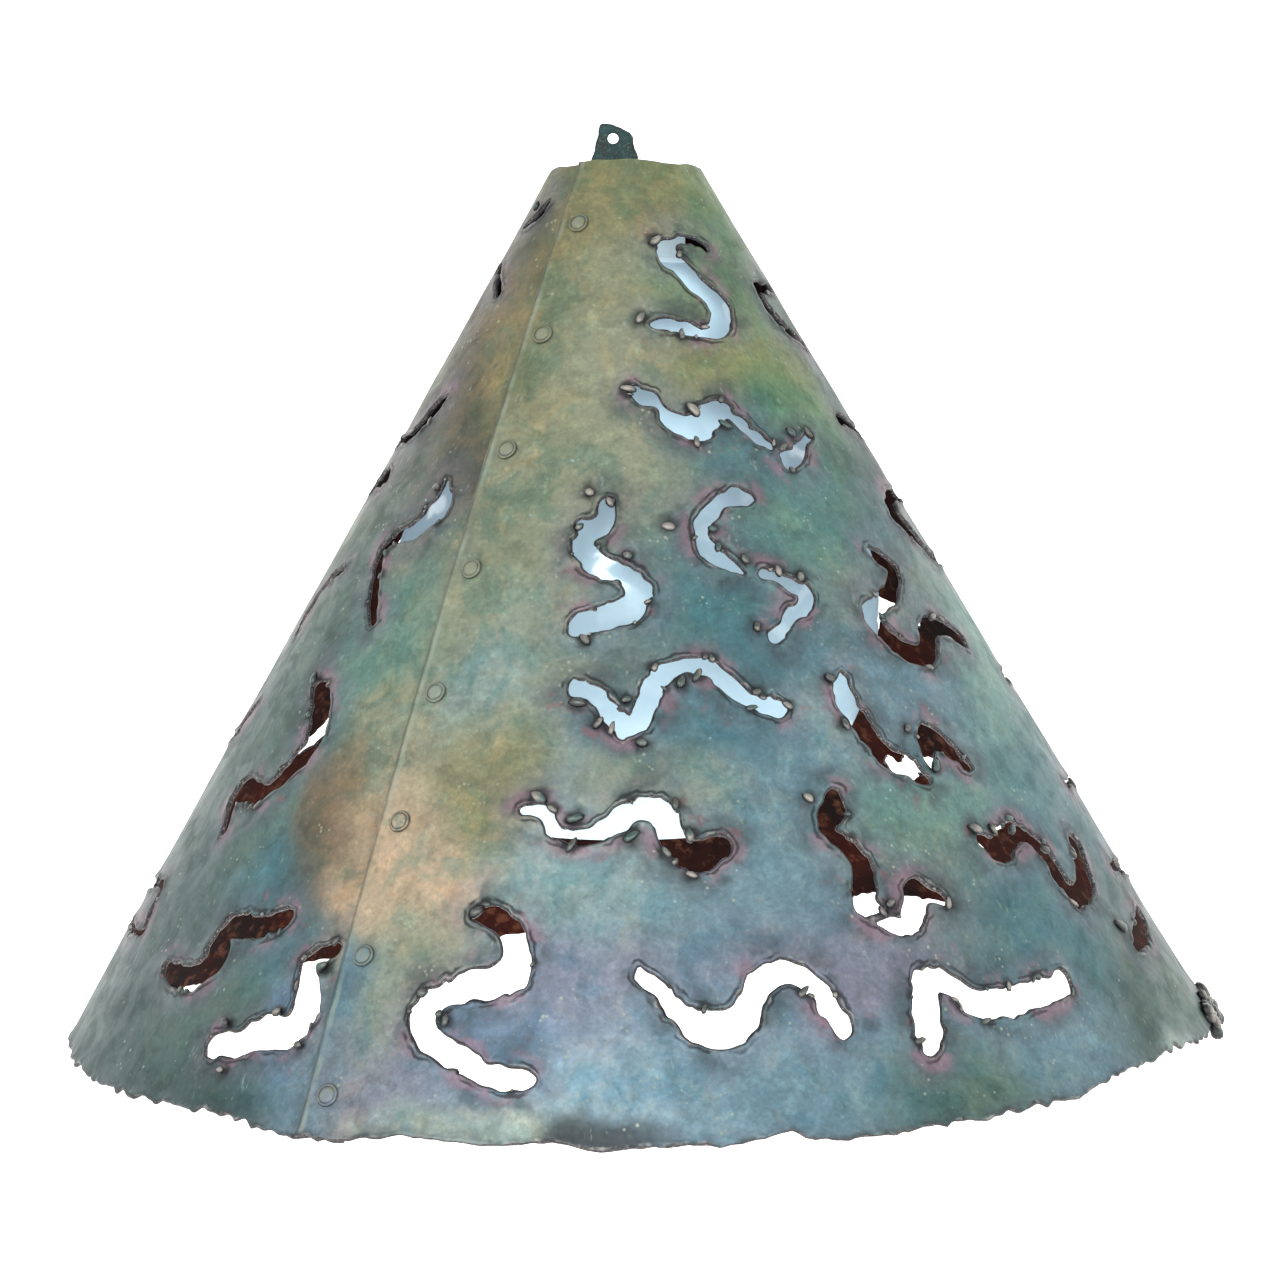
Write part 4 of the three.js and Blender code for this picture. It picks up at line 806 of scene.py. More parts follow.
def rounded(profile, radius):
    """A profile with the corners between its ends rounded by up to a radius."""
    steps = 3
    made = [tuple(profile[0])]
    for before, corner, after in zip(profile, profile[1:], profile[2:]):
        before, corner, after = Vector(before), Vector(corner), Vector(after)
        reach = min(radius, (corner - before).length * 0.45, (after - corner).length * 0.45)
        if reach < 1e-4:
            made.append(tuple(corner))
            continue
        start = corner + (before - corner).normalized() * reach
        stop = corner + (after - corner).normalized() * reach
        for step in range(steps + 1):
            t = step / steps
            made.append(tuple(start * (1 - t) ** 2 + corner * 2 * t * (1 - t) + stop * t**2))
    return [*made, tuple(profile[-1])]


def ring_section(inner, outer, bottom, top):
    return [(inner, bottom), (outer, bottom), (outer, top), (inner, top), (inner, bottom)]


def lathe(name, node, profile, finish, body="lamp", centre=(AXIS_X, AXIS_Y), **options):
    """A turned piece that stands for a CAD node. Its profile's heights are from the rim."""
    points, faces = revolve(profile, **options)
    placed = [((x + centre[0]) * MM, (y + centre[1]) * MM, (z + RIM_Z) * MM) for x, y, z in points]
    return stand_for(make_mesh(name, placed, faces, [finish]), node, body)


def stand_for(piece, node, body="lamp"):
    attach(piece, body)
    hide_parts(node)
    return piece


def thread(crest, root, bottom, top, pitch):
    """A run of rounded thread rings as [radius, height] from the bottom up."""
    steps = 8
    count = max(2, round((top - bottom) / pitch)) * steps
    middle, half = (crest + root) / 2, (crest - root) / 2
    return [
        (middle + half * math.cos(2 * math.pi * index / steps), bottom + (top - bottom) * index / count)
        for index in range(count + 1)
    ]


# Rivets, top plate, lug, nipple and lampholder, as in the parts that they stand for
RIVET_COUNT = 8
RIVET_INSET = 8.0
RIVET_LOW = 9.5
RIVET_HIGH = SHADE_HEIGHT - 23.0
RIVET_SHANK = 1.9
RIVET_HEAD = 3.65
RIVET_HEAD_HEIGHT = 0.9
RIVET_TAIL = 3.3
RIVET_TAIL_GAP = 0.45
PLATE_TOP = SHADE_HEIGHT - 3.0
PLATE_BOTTOM = PLATE_TOP - 2.5
PLATE_GAP = 0.5
BRAZE_WIDTH = 2.6
BRAZE_HEIGHT = 1.6
LUG_THICKNESS = 2.0
LUG_FOOT = 11.4
LUG_BEND = 1.0
LUG_HOLE = 1.9
LUG_BASE = -12.5
LUG_RIVET_GAP = 10.0
LUG_RIVET_HEAD = 2.9
LUG_RIVET_SHANK = 1.5
LUG_RIVET_HEIGHT = 1.2
NIPPLE_RADIUS = 5.0
NIPPLE_BORE = 3.5
NIPPLE_HOLE = NIPPLE_RADIUS + CLEARANCE
NIPPLE_TOP = PLATE_TOP + 4.2
NIPPLE_LENGTH = 20.0
NIPPLE_PITCH = 1.0
WASHER_RADIUS = 10.0
WASHER_THICKNESS = 1.2
WASHER_TOP = PLATE_BOTTOM - CLEARANCE
NUT_THICKNESS = 3.0
BUSH_COLLAR = 4.7
BUSH_BORE = 2.2
HOLDER_TOP = WASHER_TOP - WASHER_THICKNESS - NUT_THICKNESS - 2 * CLEARANCE
HOLDER_RADIUS = 18.4
HOLDER_WALL = 2.0
HOLDER_BORE = HOLDER_RADIUS + CLEARANCE
HOLDER_CAP = HOLDER_TOP - 24.0
HOLDER_TUCK = 6.0
HOLDER_BOTTOM = HOLDER_CAP - 28.0
CORE_TOP = HOLDER_CAP + HOLDER_TUCK - CLEARANCE
CORE_BOTTOM = CORE_TOP - 10.0
SCREW_RADIUS = 13.9
SCREW_TOP = CORE_BOTTOM - CLEARANCE
SCREW_PITCH = 3.6
THREAD_DEPTH = 0.5
GLASS_TOP = HOLDER_CAP - CLEARANCE
GLASS_WALL = 3.0
GLASS_NECK = HOLDER_RADIUS + 0.9
GLASS_SHOULDER = GLASS_NECK + 11.7
RING_TOP = GLASS_TOP - GLASS_WALL - CLEARANCE
RING_HEIGHT = 9.0
RING_WALL = 4.3
BULB_TOP = SCREW_TOP - 3.3
BULB_RADIUS = 30.0
BULB_WALL = 1.0
BULB_MIDDLE = BULB_TOP - 76.0
BULB_SHOULDER = 26.0
BULB_CAP_RADIUS = 12.6
BULB_CAP_WALL = 0.7
BULB_CAP_TOP = BULB_TOP - 4.5
BULB_CAP_BOTTOM = BULB_CAP_TOP - 18.0

# The outside of the glass from its shoulder down to its open bottom, as [radius, drop from its top]
GLASS_LINE = [
    [39, 5], [48, 22], [62, 52], [77, 82], [86, 105], [88, 121], [86, 141], [80, 160], [69, 178.5], [56, 190.5],
    [46, 199],
]

# The lug's outline when its bend is laid flat, with the hole's middle at nought, as [across, up]
LUG_LINE = [
    [-8.9, -15.4], [-8.8, -11.6], [-8.4, -8.6], [-7.4, -6.2], [-6.7, -4.2], [-6.2, -1.8], [-5.5, 0.4], [-5.1, 2.6],
    [-4.9, 4.2], [-4.0, 5.2], [-1.3, 5.2], [1.2, 4.3], [3.9, 3.1], [6.0, 1.9], [6.9, 0.4], [7.1, -1.8], [7.6, -3.6],
    [8.4, -5.6], [8.8, -8.6], [8.9, -11.8], [8.8, -17.6], [7.6, -20.6], [5.0, -22.4], [1.0, -23.0], [-3.4, -22.9],
    [-6.6, -21.6], [-8.5, -18.8],
]

# How much darker the patina is, in red, green and blue, than it shows in full light
PATINA_GAIN = (0.38, 0.43, 0.44)


class Paint:
    """A node material. Each call adds a node and gives back its output."""

    def __init__(self, name):
        self.material = bpy.data.materials.new(name)
        self.material.use_nodes = True
        self.tree = self.material.node_tree
        self.shader = self.tree.nodes["Principled BSDF"]
        self.here = self.add("TexCoord").outputs["Object"]

    def add(self, kind, **settings):
        node = self.tree.nodes.new("ShaderNode" + kind)
        for name, value in settings.items():
            setattr(node, name, value)
        return node

    def feed(self, socket, value):
        if isinstance(value, bpy.types.NodeSocket):
            self.tree.links.new(value, socket)
        elif socket.type == "RGBA":
            socket.default_value = (*value, 1.0)
        else:
            socket.default_value = value

    def layer(self, name, output="Fac"):
        return self.add("Attribute", attribute_name=name).outputs[output]

    def mottle(self, size, seed, detail, rough=0.55, stretch=(1, 1, 1), swirl=0.0):
        """Noise from 0 to 1 with bumps about size mm across. A stretch above 1 shortens them along its axis."""
        where = self.add("Mapping")
        self.feed(where.inputs["Vector"], self.here)
        where.inputs["Scale"].default_value = stretch
        node = self.add("TexNoise", noise_dimensions="4D")
        self.feed(node.inputs["Vector"], where.outputs["Vector"])
        settings = {"W": seed, "Scale": 1 / (size * MM), "Detail": detail, "Roughness": rough, "Distortion": swirl}
        for name, value in settings.items():
            node.inputs[name].default_value = value
        return node.outputs["Fac"]

    def cells(self, size, seed):
        """The distance from the middle of the nearest of many random spots, size mm apart."""
        node = self.add("TexVoronoi", voronoi_dimensions="4D")
        self.feed(node.inputs["Vector"], self.here)
        node.inputs["W"].default_value = seed
        node.inputs["Scale"].default_value = 1 / (size * MM)
        return node.outputs["Distance"]

    def span(self, value, low, high, to_low=0.0, to_high=1.0):
        """A value taken smoothly from one range to another."""
        node = self.add("MapRange", interpolation_type="SMOOTHSTEP")
        settings = {"Value": value, "From Min": low, "From Max": high, "To Min": to_low, "To Max": to_high}
        for name, given in settings.items():
            self.feed(node.inputs[name], given)
        return node.outputs["Result"]

    def maths(self, operation, first, second=0.0):
        node = self.add("Math", operation=operation)
        self.feed(node.inputs[0], first)
        self.feed(node.inputs[1], second)
        return node.outputs["Value"]

    def times(self, first, second):
        return self.maths("MULTIPLY", first, second)

    def plus(self, first, second):
        return self.maths("ADD", first, second)

    def mix(self, share, first, second, blend="MIX"):
        node = self.add("Mix", data_type="RGBA", blend_type=blend)
        for index, value in ((0, share), (6, first), (7, second)):
            self.feed(node.inputs[index], value)
        return node.outputs[2]

    def tinted(self, share, colour, tint):
        """A colour, made darker or lighter by a tint where the share says."""
        return self.mix(share, colour, self.mix(1.0, colour, tint, "MULTIPLY"))

    def stained(self, colour, stains):
        """A colour with others laid over it in turn, each as a share and its red, green and blue to 255."""
        for share, stain in stains:
            colour = self.mix(share, colour, srgb(*stain))
        return colour

    def patches(self, size, seed, detail, low, high, share=1.0, rough=0.55):
        """Patches about size mm across, nought where the noise is under low, and share where it is over high."""
        return self.span(self.mottle(size, seed, detail, rough), low, high, 0.0, share)

    def wobble(self, reach, size, seed, detail):
        """An uneven offset, over a range of reach mm about nought."""
        return self.times(self.plus(self.mottle(size, seed, detail), -0.5), reach)

    def line(self, value, middle, core, far, share):
        """A line where the value is at the middle, full up to core from there and gone at far."""
        return self.span(self.maths("ABSOLUTE", self.plus(value, -middle)), core, far, share, 0.0)

    def done(self, colour, roughness, metallic, relief, depth, **more):
        """Sets the shader. The relief is from 0 to 1, and its depth is in mm."""
        bump = self.add("Bump")
        bump.inputs["Distance"].default_value = depth * MM
        self.feed(bump.inputs["Height"], relief)
        inputs = {"Base_Color": colour, "Roughness": roughness, "Metallic": metallic, "Normal": bump.outputs["Normal"]}
        for name, value in {**inputs, **more}.items():
            self.feed(self.shader.inputs[name.replace("_", " ")], value)
        return self.material


def srgb(red, green, blue):
    """A colour given as 0 to 255 on a screen, as the light that it stands for."""
    return tuple((value / 255) ** GAMMA for value in (red, green, blue))


def patina_finish():
    """The sheet's outside: a mottled patina, with heat colours, dark lines, partly painted shadow, and melted lips
    with painted highlights round the cuts.
    """
    p = Paint("patina_outside")
    colour = p.layer("patina", "Color")
    cut, rim, lip, edge = (p.layer(name) for name in ("cut", "rim", "lip", "edge"))
    wander = p.wobble(16.0, 12, 1.0, 4)
    near = p.plus(p.maths("MINIMUM", cut, p.plus(rim, 7.0)), wander)
    cloud, blotch = p.mottle(40, 2.0, 5, 0.6, swirl=0.8), p.mottle(11, 3.0, 5, 0.6, swirl=0.6)
    grain = p.mottle(1.5, 4.0, 4, 0.65)
    clouding = p.mottle(24, 5.0, 5, 0.6, swirl=1.4)
    colour = p.tinted(p.span(clouding, 0.5, 0.6, 0.0, 0.6), colour, (0.5, 0.78, 0.84))
    warming = p.mottle(18, 5.5, 5, 0.6, swirl=1.2)
    colour = p.tinted(p.span(warming, 0.5, 0.62, 0.0, 0.55), colour, (1.42, 1.16, 0.98))
    colour = p.tinted(p.span(blotch, 0.5, 0.64, 0.0, 0.55), colour, (0.62, 0.64, 0.62))
    colour = p.tinted(p.patches(6, 6.0, 5, 0.5, 0.66, 0.5, 0.65), colour, (1.4, 1.42, 1.36))

    # what the heat left round the cuts and at the rim
    haze = p.mix(0.55, p.mix(p.span(cloud, 0.4, 0.6), srgb(104, 96, 108), srgb(156, 148, 160)), colour)
    colour = p.mix(p.span(near, 3.0, 15.0, 0.62, 0.0), colour, haze)
    smoke = p.times(p.patches(13, 6.8, 3, 0.46, 0.58), p.span(near, 1.0, 12.0, 0.62, 0.0))
    reddened = p.plus(cut, p.times(wander, 0.25))
    blush = p.times(p.patches(15, 7.0, 3, 0.5, 0.6), p.span(reddened, 2.0, 7.0, 0.6, 0.0))
    ember = p.times(p.patches(7, 8.0, 4, 0.62, 0.72), p.span(near, 4.0, 14.0, 0.5, 0.0))

    # what lies on the patina
    speck = p.times(p.span(p.cells(2.2, 9.0), 0.16, 0.34, 0.7, 0.0), p.patches(15, 9.5, 4, 0.54, 0.62))
    flecks = p.times(p.span(p.cells(4.4, 9.2), 0.07, 0.15, 0.8, 0.0), p.patches(24, 9.7, 3, 0.5, 0.6))
    streak = p.span(p.mottle(2.2, 10.0, 2, 0.5, (1, 1, 0.05)), 0.66, 0.74, 0.0, 0.35)
    colour = p.stained(colour, [
        (smoke, (62, 74, 78)), (blush, (166, 124, 138)), (ember, (158, 92, 98)),
        (speck, (194, 192, 168)), (flecks, (178, 208, 216)), (streak, (176, 186, 176)),
    ])
    colour = p.tinted(p.span(grain, 0.36, 0.64, 0.5, 0.0), colour, (0.62, 0.62, 0.62))
    colour = p.tinted(p.patches(3.4, 10.3, 4, 0.5, 0.66, 0.45, 0.6), colour, (1.3, 1.3, 1.26))

    # the lap's end, painted shadow lines along the cuts, and the melted lips
    seam = p.plus(p.layer("seam"), p.wobble(1.2, 9, 10.5, 2))
    colour = p.stained(colour, [(p.line(seam, 0.6, 0.2, 0.9, 0.5), (70, 68, 56))])
    colour = p.tinted(p.span(p.mottle(9, 11.3, 4, 0.65), 0.4, 0.54, 0.4, 0.0), colour, (0.66, 0.74, 0.72))
    worn = p.times(p.line(seam, 2.0, 0.2, 1.4, 1.0), p.span(p.mottle(17, 10.7, 3), 0.44, 0.6, 0.05, 0.45))
    # A dark line 1.5 mm out from each cut paints the shadow at the foot of its lip.
    fold = p.plus(edge, p.wobble(2.2, 4, 11.0, 2))
    lip_foot_shadow = p.times(p.line(fold, 1.5, 0.15, 0.8, 0.8), p.patches(9, 12.0, 2, 0.42, 0.56))
    colour = p.stained(colour, [(worn, (180, 186, 166)), (lip_foot_shadow, (34, 34, 38))])
    # The lips take a bare-metal colour whose pale patches are painted highlight.
    lip_sheen_and_metal = p.span(p.plus(lip, p.wobble(0.8, 2.6, 13.0, 2)), 0.4, 0.8, 0.0, 0.7)
    metal = p.mix(p.patches(5, 14.0, 3, 0.42, 0.58), srgb(78, 70, 72), srgb(196, 184, 176))
    colour = p.mix(lip_sheen_and_metal, colour, metal)
    singe = p.times(p.span(rim, 0.3, 1.8, 0.8, 0.0), p.patches(8, 14.5, 2, 0.42, 0.6))
    # A dark line right at each cut's edge paints shade where the lip rolls over.
    colour = p.stained(colour, [
        (p.span(edge, 0.1, 0.75, 0.8, 0.0), (30, 30, 34)), (singe, (60, 66, 66)),
        # Painted shade round the foot of each drop.
        (p.times(p.layer("drop_foot_shade"), 0.85), (28, 28, 32)),
    ])
    colour = p.mix(1.0, colour, PATINA_GAIN, "MULTIPLY")
    rough = p.plus(p.span(blotch, 0.3, 0.7, 0.42, 0.62), p.times(lip_sheen_and_metal, -0.12))
    metallic = p.plus(p.span(cloud, 0.3, 0.7, 0.2, 0.4), p.times(lip_sheen_and_metal, 0.5))
    relief = p.plus(p.times(grain, 0.2), p.times(blotch, 0.8))
    return p.done(colour, rough, metallic, relief, 0.25, Specular_IOR_Level=0.25)


def rivet_finish():
    """The rivets' heads: the patina of the sheet round them, with dark rings of painted shade in the pressed groove
    and round each head's edge.
    """
    p = Paint("rivet_patina")
    grain = p.mottle(2.4, 4.0, 4, 0.6)
    colour = p.mix(p.span(grain, 0.4, 0.66), p.layer("patina", "Color"), srgb(150, 150, 134))
    ring = p.times(p.layer("ring"), p.span(p.mottle(3.5, 5.0, 2), 0.35, 0.6, 0.5, 1.0))
    colour = p.mix(ring, colour, srgb(48, 48, 42))
    colour = p.mix(1.0, colour, PATINA_GAIN, "MULTIPLY")
    return p.done(colour, p.span(grain, 0.3, 0.7, 0.45, 0.65), 0.3, grain, 0.15, Specular_IOR_Level=0.25)


def bead_finish():
    """Beads: dark at the foot as painted shade, with a grey crown that is partly painted highlight."""
    p = Paint("bead_metal")
    patch = p.mottle(9, 1.0, 3)
    top = p.mix(p.span(patch, 0.42, 0.58), srgb(58, 63, 60), srgb(112, 108, 102))
    top = p.mix(p.patches(14, 2.0, 3, 0.5, 0.6), top, srgb(52, 70, 66))
    rise = p.plus(p.layer("crown"), p.wobble(0.6, 1.6, 3.0, 2))
    colour = p.mix(p.span(rise, 0.3, 0.9), srgb(26, 25, 27), top)
    return p.done(colour, p.span(patch, 0.3, 0.7, 0.32, 0.5), 0.4, p.mottle(1.2, 4.0, 3), 0.1)


def mottled_finish(name, dark, middle, pale, size, roughness, metallic, depth, **more):
    """A finish with two sizes of mottling: clouds of one colour over another, and fine dark or pale grain."""
    p = Paint(name)
    cloud, grain = p.mottle(size, 1.0, 4, 0.6), p.mottle(size / 7, 2.0, 3, 0.6)
    colour = p.mix(p.span(cloud, 0.34, 0.66), srgb(*dark), srgb(*middle))
    colour = p.mix(p.span(grain, 0.5, 0.72, 0.0, 0.8), colour, srgb(*pale))
    rough = p.span(cloud, 0.3, 0.7, *roughness)
    return p.done(colour, rough, metallic, p.plus(p.times(cloud, 0.4), p.times(grain, 0.6)), depth, **more)


patina, bead_metal, rivet = patina_finish(), bead_finish(), rivet_finish()
# The shade's inside: a dark patina, made darker still as painted shade.
inner = mottled_finish("patina_inside_and_shade", (14, 8, 6), (44, 21, 17), (76, 48, 36), 30, (0.7, 0.9), 0.0, 0.2,
                       Specular_IOR_Level=0.05)
melted = mottled_finish("melted_edge", (24, 22, 24), (52, 48, 50), (132, 124, 120), 5, (0.35, 0.55), 0.5, 0.2)
plate = mottled_finish("plate_patina", (74, 52, 42), (112, 90, 74), (140, 138, 120), 12, (0.45, 0.65), 0.5, 0.15)
braze = mottled_finish("braze_metal", (110, 82, 52), (176, 142, 92), (214, 190, 140), 4, (0.3, 0.5), 0.85, 0.2)
teal = mottled_finish("lug_patina", (14, 25, 24), (25, 49, 53), (60, 77, 66), 5, (0.45, 0.65), 0.3, 0.15,
                      Specular_IOR_Level=0.25)
steel = mottled_finish("zinc_steel", (150, 150, 148), (186, 187, 186), (208, 208, 206), 6, (0.28, 0.42), 0.95, 0.03)
brass = mottled_finish("satin_brass", (150, 118, 62), (196, 162, 96), (220, 192, 130), 8, (0.24, 0.4), 0.95, 0.03)
phenolic = mottled_finish("phenolic", (26, 22, 20), (38, 33, 31), (52, 47, 44), 7, (0.28, 0.42), 0.0, 0.02)
# The white moulding glows faintly, painted light so that it shows bright inside the dark shade.
glowing_moulding = mottled_finish("white_moulding", (200, 216, 222), (214, 228, 232), (226, 236, 238), 9, (0.3, 0.45), 0.0,
                          0.02, Emission_Color=(0.7, 0.9, 1.0), Emission_Strength=0.4)
ceramic = mottled_finish("ceramic", (216, 208, 194), (236, 231, 220), (244, 241, 234), 9, (0.4, 0.6), 0.0, 0.04)
# The opal glass glows faintly, painted light so that it shows pale through the cuts.
glowing_opal = mottled_finish("opal_glass", (150, 180, 192), (160, 190, 202), (170, 196, 206), 40, (0.12, 0.18), 0.0, 0.01,
                      Coat_Weight=0.12, Emission_Color=(0.6, 0.82, 1.0), Emission_Strength=0.38)
frosted = mottled_finish("frosted_bulb", (158, 161, 158), (170, 173, 170), (180, 181, 178), 16, (0.36, 0.46), 0.0,
                         0.01, Emission_Color=srgb(255, 244, 226), Emission_Strength=0.3)
cap_metal = mottled_finish("rolled_cap", (176, 176, 174), (206, 206, 204), (224, 224, 222), 6, (0.25, 0.4), 0.95, 0.03)
solder = mottled_finish("solder", (140, 142, 146), (178, 180, 184), (206, 208, 210), 2.5, (0.35, 0.55), 0.85, 0.08)


def seam_rivet(index):
    """A rivet through the lap: a low head with a ring pressed into it outside, and a flatter one inside."""
    height = RIVET_LOW + (RIVET_HIGH - RIVET_LOW) * index / (RIVET_COUNT - 1)
    angle = float(lap_edge(height) + degrees_of(RIVET_INSET, height))
    seat, tail = LAP_STEP + CLEARANCE, -SHEET - RIVET_TAIL_GAP
    ring = 0.72 * RIVET_HEAD
    profile = [
        (0, tail - RIVET_HEAD_HEIGHT), (1.8, tail - RIVET_HEAD_HEIGHT), (RIVET_TAIL - 0.2, tail - 0.5),
        (RIVET_TAIL, tail), (RIVET_SHANK, tail), (RIVET_SHANK, seat), (RIVET_HEAD - 0.1, seat),
        (RIVET_HEAD, seat + 0.2), (RIVET_HEAD - 0.35, seat + 0.55), (ring + 0.3, seat + 0.72),
        (ring, seat + 0.45), (ring - 0.3, seat + 0.72), (1.4, seat + RIVET_HEAD_HEIGHT), (0, seat + RIVET_HEAD_HEIGHT),
    ]
    points, faces = revolve(profile, 40)
    stand = surface_frame(angle, height, 0)
    placed = [tuple(stand @ Vector(point)) for point in points]
    piece = make_mesh(f"seam_rivet_head_{index + 1}", placed, faces, [rivet])
    add_tint(piece, np.tile(patina_at(np.array([angle]), np.array([height])), (len(points), 1)))
    reach = np.hypot(*np.array(points).T[:2])
    border = smoothstep(reach, RIVET_HEAD - 0.5, RIVET_HEAD - 0.1)
    # The ring layer marks where the finish paints shade: the pressed groove and the head's edge.
    add_layer(piece, "ring", np.maximum(np.exp(-(((reach - ring) / 0.25) ** 2)), border))
    return stand_for(piece, f"seam_rivet_{index + 1}")


def lug_place(across, up, lift):
    """Bends the lug's flat outline: a foot that lies on the top plate, and a tab that stands up from it."""
    middle = LUG_BEND + LUG_THICKNESS / 2
    foot_top = LUG_BASE + LUG_THICKNESS / 2
    bend_top = LUG_BASE + LUG_THICKNESS + LUG_BEND
    bend_start = bend_top - middle * math.pi / 2
    turn = np.clip((up - bend_start) / middle, 0, math.pi / 2)
    depth = np.where(up < bend_start, up - bend_start - middle, -middle + (middle - lift) * np.sin(turn))
    rise = np.where(up < bend_start, foot_top + lift, bend_top - (middle - lift) * np.cos(turn))
    depth = np.where(up > bend_top, -lift, depth)
    rise = np.where(up > bend_top, up, rise)
    return np.stack([across, depth, rise], axis=-1) * MM


def lug_piece():
    """The hanging lug: a ragged strip cut by hand, with its hole, its bend and its foot."""
    line = curve_through(np.array(LUG_LINE + LUG_LINE[:1], float), 0.7)[:-1]
    line += np.stack([waves(*line.T, [[0.16, 1.3, seed]]) for seed in (61, 62)], axis=1)
    turns = np.linspace(0, 2 * math.pi, 32, endpoint=False)
    hole = LUG_HOLE * np.stack([np.cos(turns), np.sin(turns)], axis=1)
    x, y = np.meshgrid(np.arange(-9, 9, 0.8), np.arange(-24, 6, 0.7))
    inner_points = np.stack([x.ravel(), y.ravel()], axis=1)
    outline = np.vstack([line, line[:1]])
    clear = np.full(len(inner_points), 1e9)
    for px, py in np.vstack([line, hole]):
        clear = np.minimum(clear, np.hypot(inner_points[:, 0] - px, inner_points[:, 1] - py))

    def on_lug(x, y, least):
        return within(outline, x, y) & (np.hypot(x, y) > least)

    inner_points = inner_points[(clear > 0.5) & on_lug(*inner_points.T, LUG_HOLE)]
    flat, triangles = triangulate([line, hole], [inner_points], lambda x, y: on_lug(x, y, LUG_HOLE * 0.995))
    half = LUG_THICKNESS / 2
    on_edge = np.zeros(len(flat))
    on_edge[np.unique(boundary_edges(triangles))] = 1
    rough = waves(*flat.T, [[0.12, 3.0, 63]])
    outer_lift = half - 0.12 + rough * 0.6 - 0.25 * on_edge
    inner_lift = -half + 0.05 + 0.25 * on_edge
    points, faces, *_ = thick_sheet(flat, triangles, lug_place, outer_lift, inner_lift, np.zeros(len(flat)))
    return stand_for(make_mesh("lug_tab", points, faces, [teal]), "hanging_lug")


def within(outline, x, y):
    """Which points are inside a closed outline."""
    inside = np.zeros(len(x), bool)
    for (x0, y0), (x1, y1) in zip(outline, outline[1:]):
        if y0 == y1:
            continue
        spans = (y0 > y) != (y1 > y)
        inside ^= spans & (x < x0 + (x1 - x0) * (y - y0) / (y1 - y0))
    return inside


def braze_piece():
    """The bead of braze round the top plate, as lumpy as it set."""
    bottom = PLATE_TOP + CLEARANCE
    outer = outside(bottom + BRAZE_HEIGHT) - SHEET / COS_A - PLATE_GAP
    points, faces, sides, ring = [], [], 120, 10
    half_width, half_height, fill = 0.5 * BRAZE_WIDTH, 0.5 * BRAZE_HEIGHT, 0.8
    for index in range(sides):
        turn = 2 * math.pi * index / sides
        swell = 1 + 0.22 * noise.noise(Vector((3.2 * math.cos(turn), 3.2 * math.sin(turn), 7.0)))
        swell += 0.12 * noise.noise(Vector((9 * math.cos(turn), 9 * math.sin(turn), 2.0)))
        for step in range(ring):
            roll = 2 * math.pi * step / ring
            across = half_width * swell * math.cos(roll) * fill
            up = half_height * swell * math.sin(roll) * fill
            radius = outer - half_width + min(across, 0.9 * half_width)
            height = bottom + half_height + up
            spot = (AXIS_X + radius * math.cos(turn), AXIS_Y + radius * math.sin(turn), RIM_Z + height)
            points.append(tuple(value * MM for value in spot))
            ahead = (index + 1) % sides
            beside = (step + 1) % ring
            faces.append((index * ring + step, ahead * ring + step, ahead * ring + beside, index * ring + beside))
    return stand_for(make_mesh("braze_run", points, faces, [braze]), "braze_bead")


def glass_profile():
    """The opal glass: an even wall that swells out from its neck and draws in to an open bottom with a rounded lip."""
    line = curve_through([[GLASS_SHOULDER - 1.0, 0.35], *GLASS_LINE], 2.5)
    heading = np.gradient(line, axis=0)
    heading /= np.linalg.norm(heading, axis=1)[:, None]
    outer = np.stack([line[:, 0], GLASS_TOP - line[:, 1]], axis=1)
    square = np.stack([heading[:, 1], heading[:, 0]], axis=1)
    inside_line = outer - square * GLASS_WALL
    reach, steps, flattening = GLASS_WALL / 2, 8, 0.6
    end, way = outer[-1] - square[-1] * reach, np.array([heading[-1, 0], -heading[-1, 1]])
    turns = [math.pi * step / steps for step in range(1, steps)]
    lip = [end - square[-1] * reach * math.cos(turn) + way * reach * math.sin(turn) * flattening for turn in turns]
    under = GLASS_TOP - GLASS_WALL
    return [
        (GLASS_NECK, under), *[tuple(point) for point in inside_line if point[1] < under + 1e-6],
        *[tuple(point) for point in lip], *[tuple(point) for point in outer[::-1]],
        (GLASS_SHOULDER - 2, GLASS_TOP), (GLASS_NECK, GLASS_TOP), (GLASS_NECK, under),
    ]


def bulb_profile():
    """The bulb's glass: a globe that draws in to a neck inside the cap."""
    neck = BULB_CAP_RADIUS - THREAD_DEPTH - BULB_CAP_WALL - CLEARANCE
    turns = np.radians(np.linspace(-90, BULB_SHOULDER, 26))
    globe = [(BULB_RADIUS * math.cos(turn), BULB_MIDDLE + BULB_RADIUS * math.sin(turn)) for turn in turns]
    start, end = np.array(globe[-1]), np.array([neck, BULB_CAP_BOTTOM])
    lean = math.radians(BULB_SHOULDER)
    leave = start + 14 * np.array([-math.sin(lean), math.cos(lean)])
    reach = end - np.array([0, 12])
    for t in np.linspace(0, 1, 15)[1:]:
        point = (1 - t) ** 3 * start + 3 * (1 - t) ** 2 * t * leave + 3 * (1 - t) * t**2 * reach + t**3 * end
        globe.append(tuple(point))
    globe.append((neck, BULB_CAP_BOTTOM + 6.0))
    globe[0] = (0.0, globe[0][1])
    inner_line = [
        (max(radius - BULB_WALL, 0.0), height + (BULB_WALL if radius < 1e-6 else 0)) for radius, height in globe
    ]
    return [*globe, *inner_line[::-1]]


sheet_piece, all_drops = shade_piece([patina, inner, melted])
stand_for(sheet_piece, "shade")
beads = beads_piece(bead_metal, all_drops)
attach(beads, "lamp")
for number in range(RIVET_COUNT):
    seam_rivet(number)
lug_piece()
braze_piece()

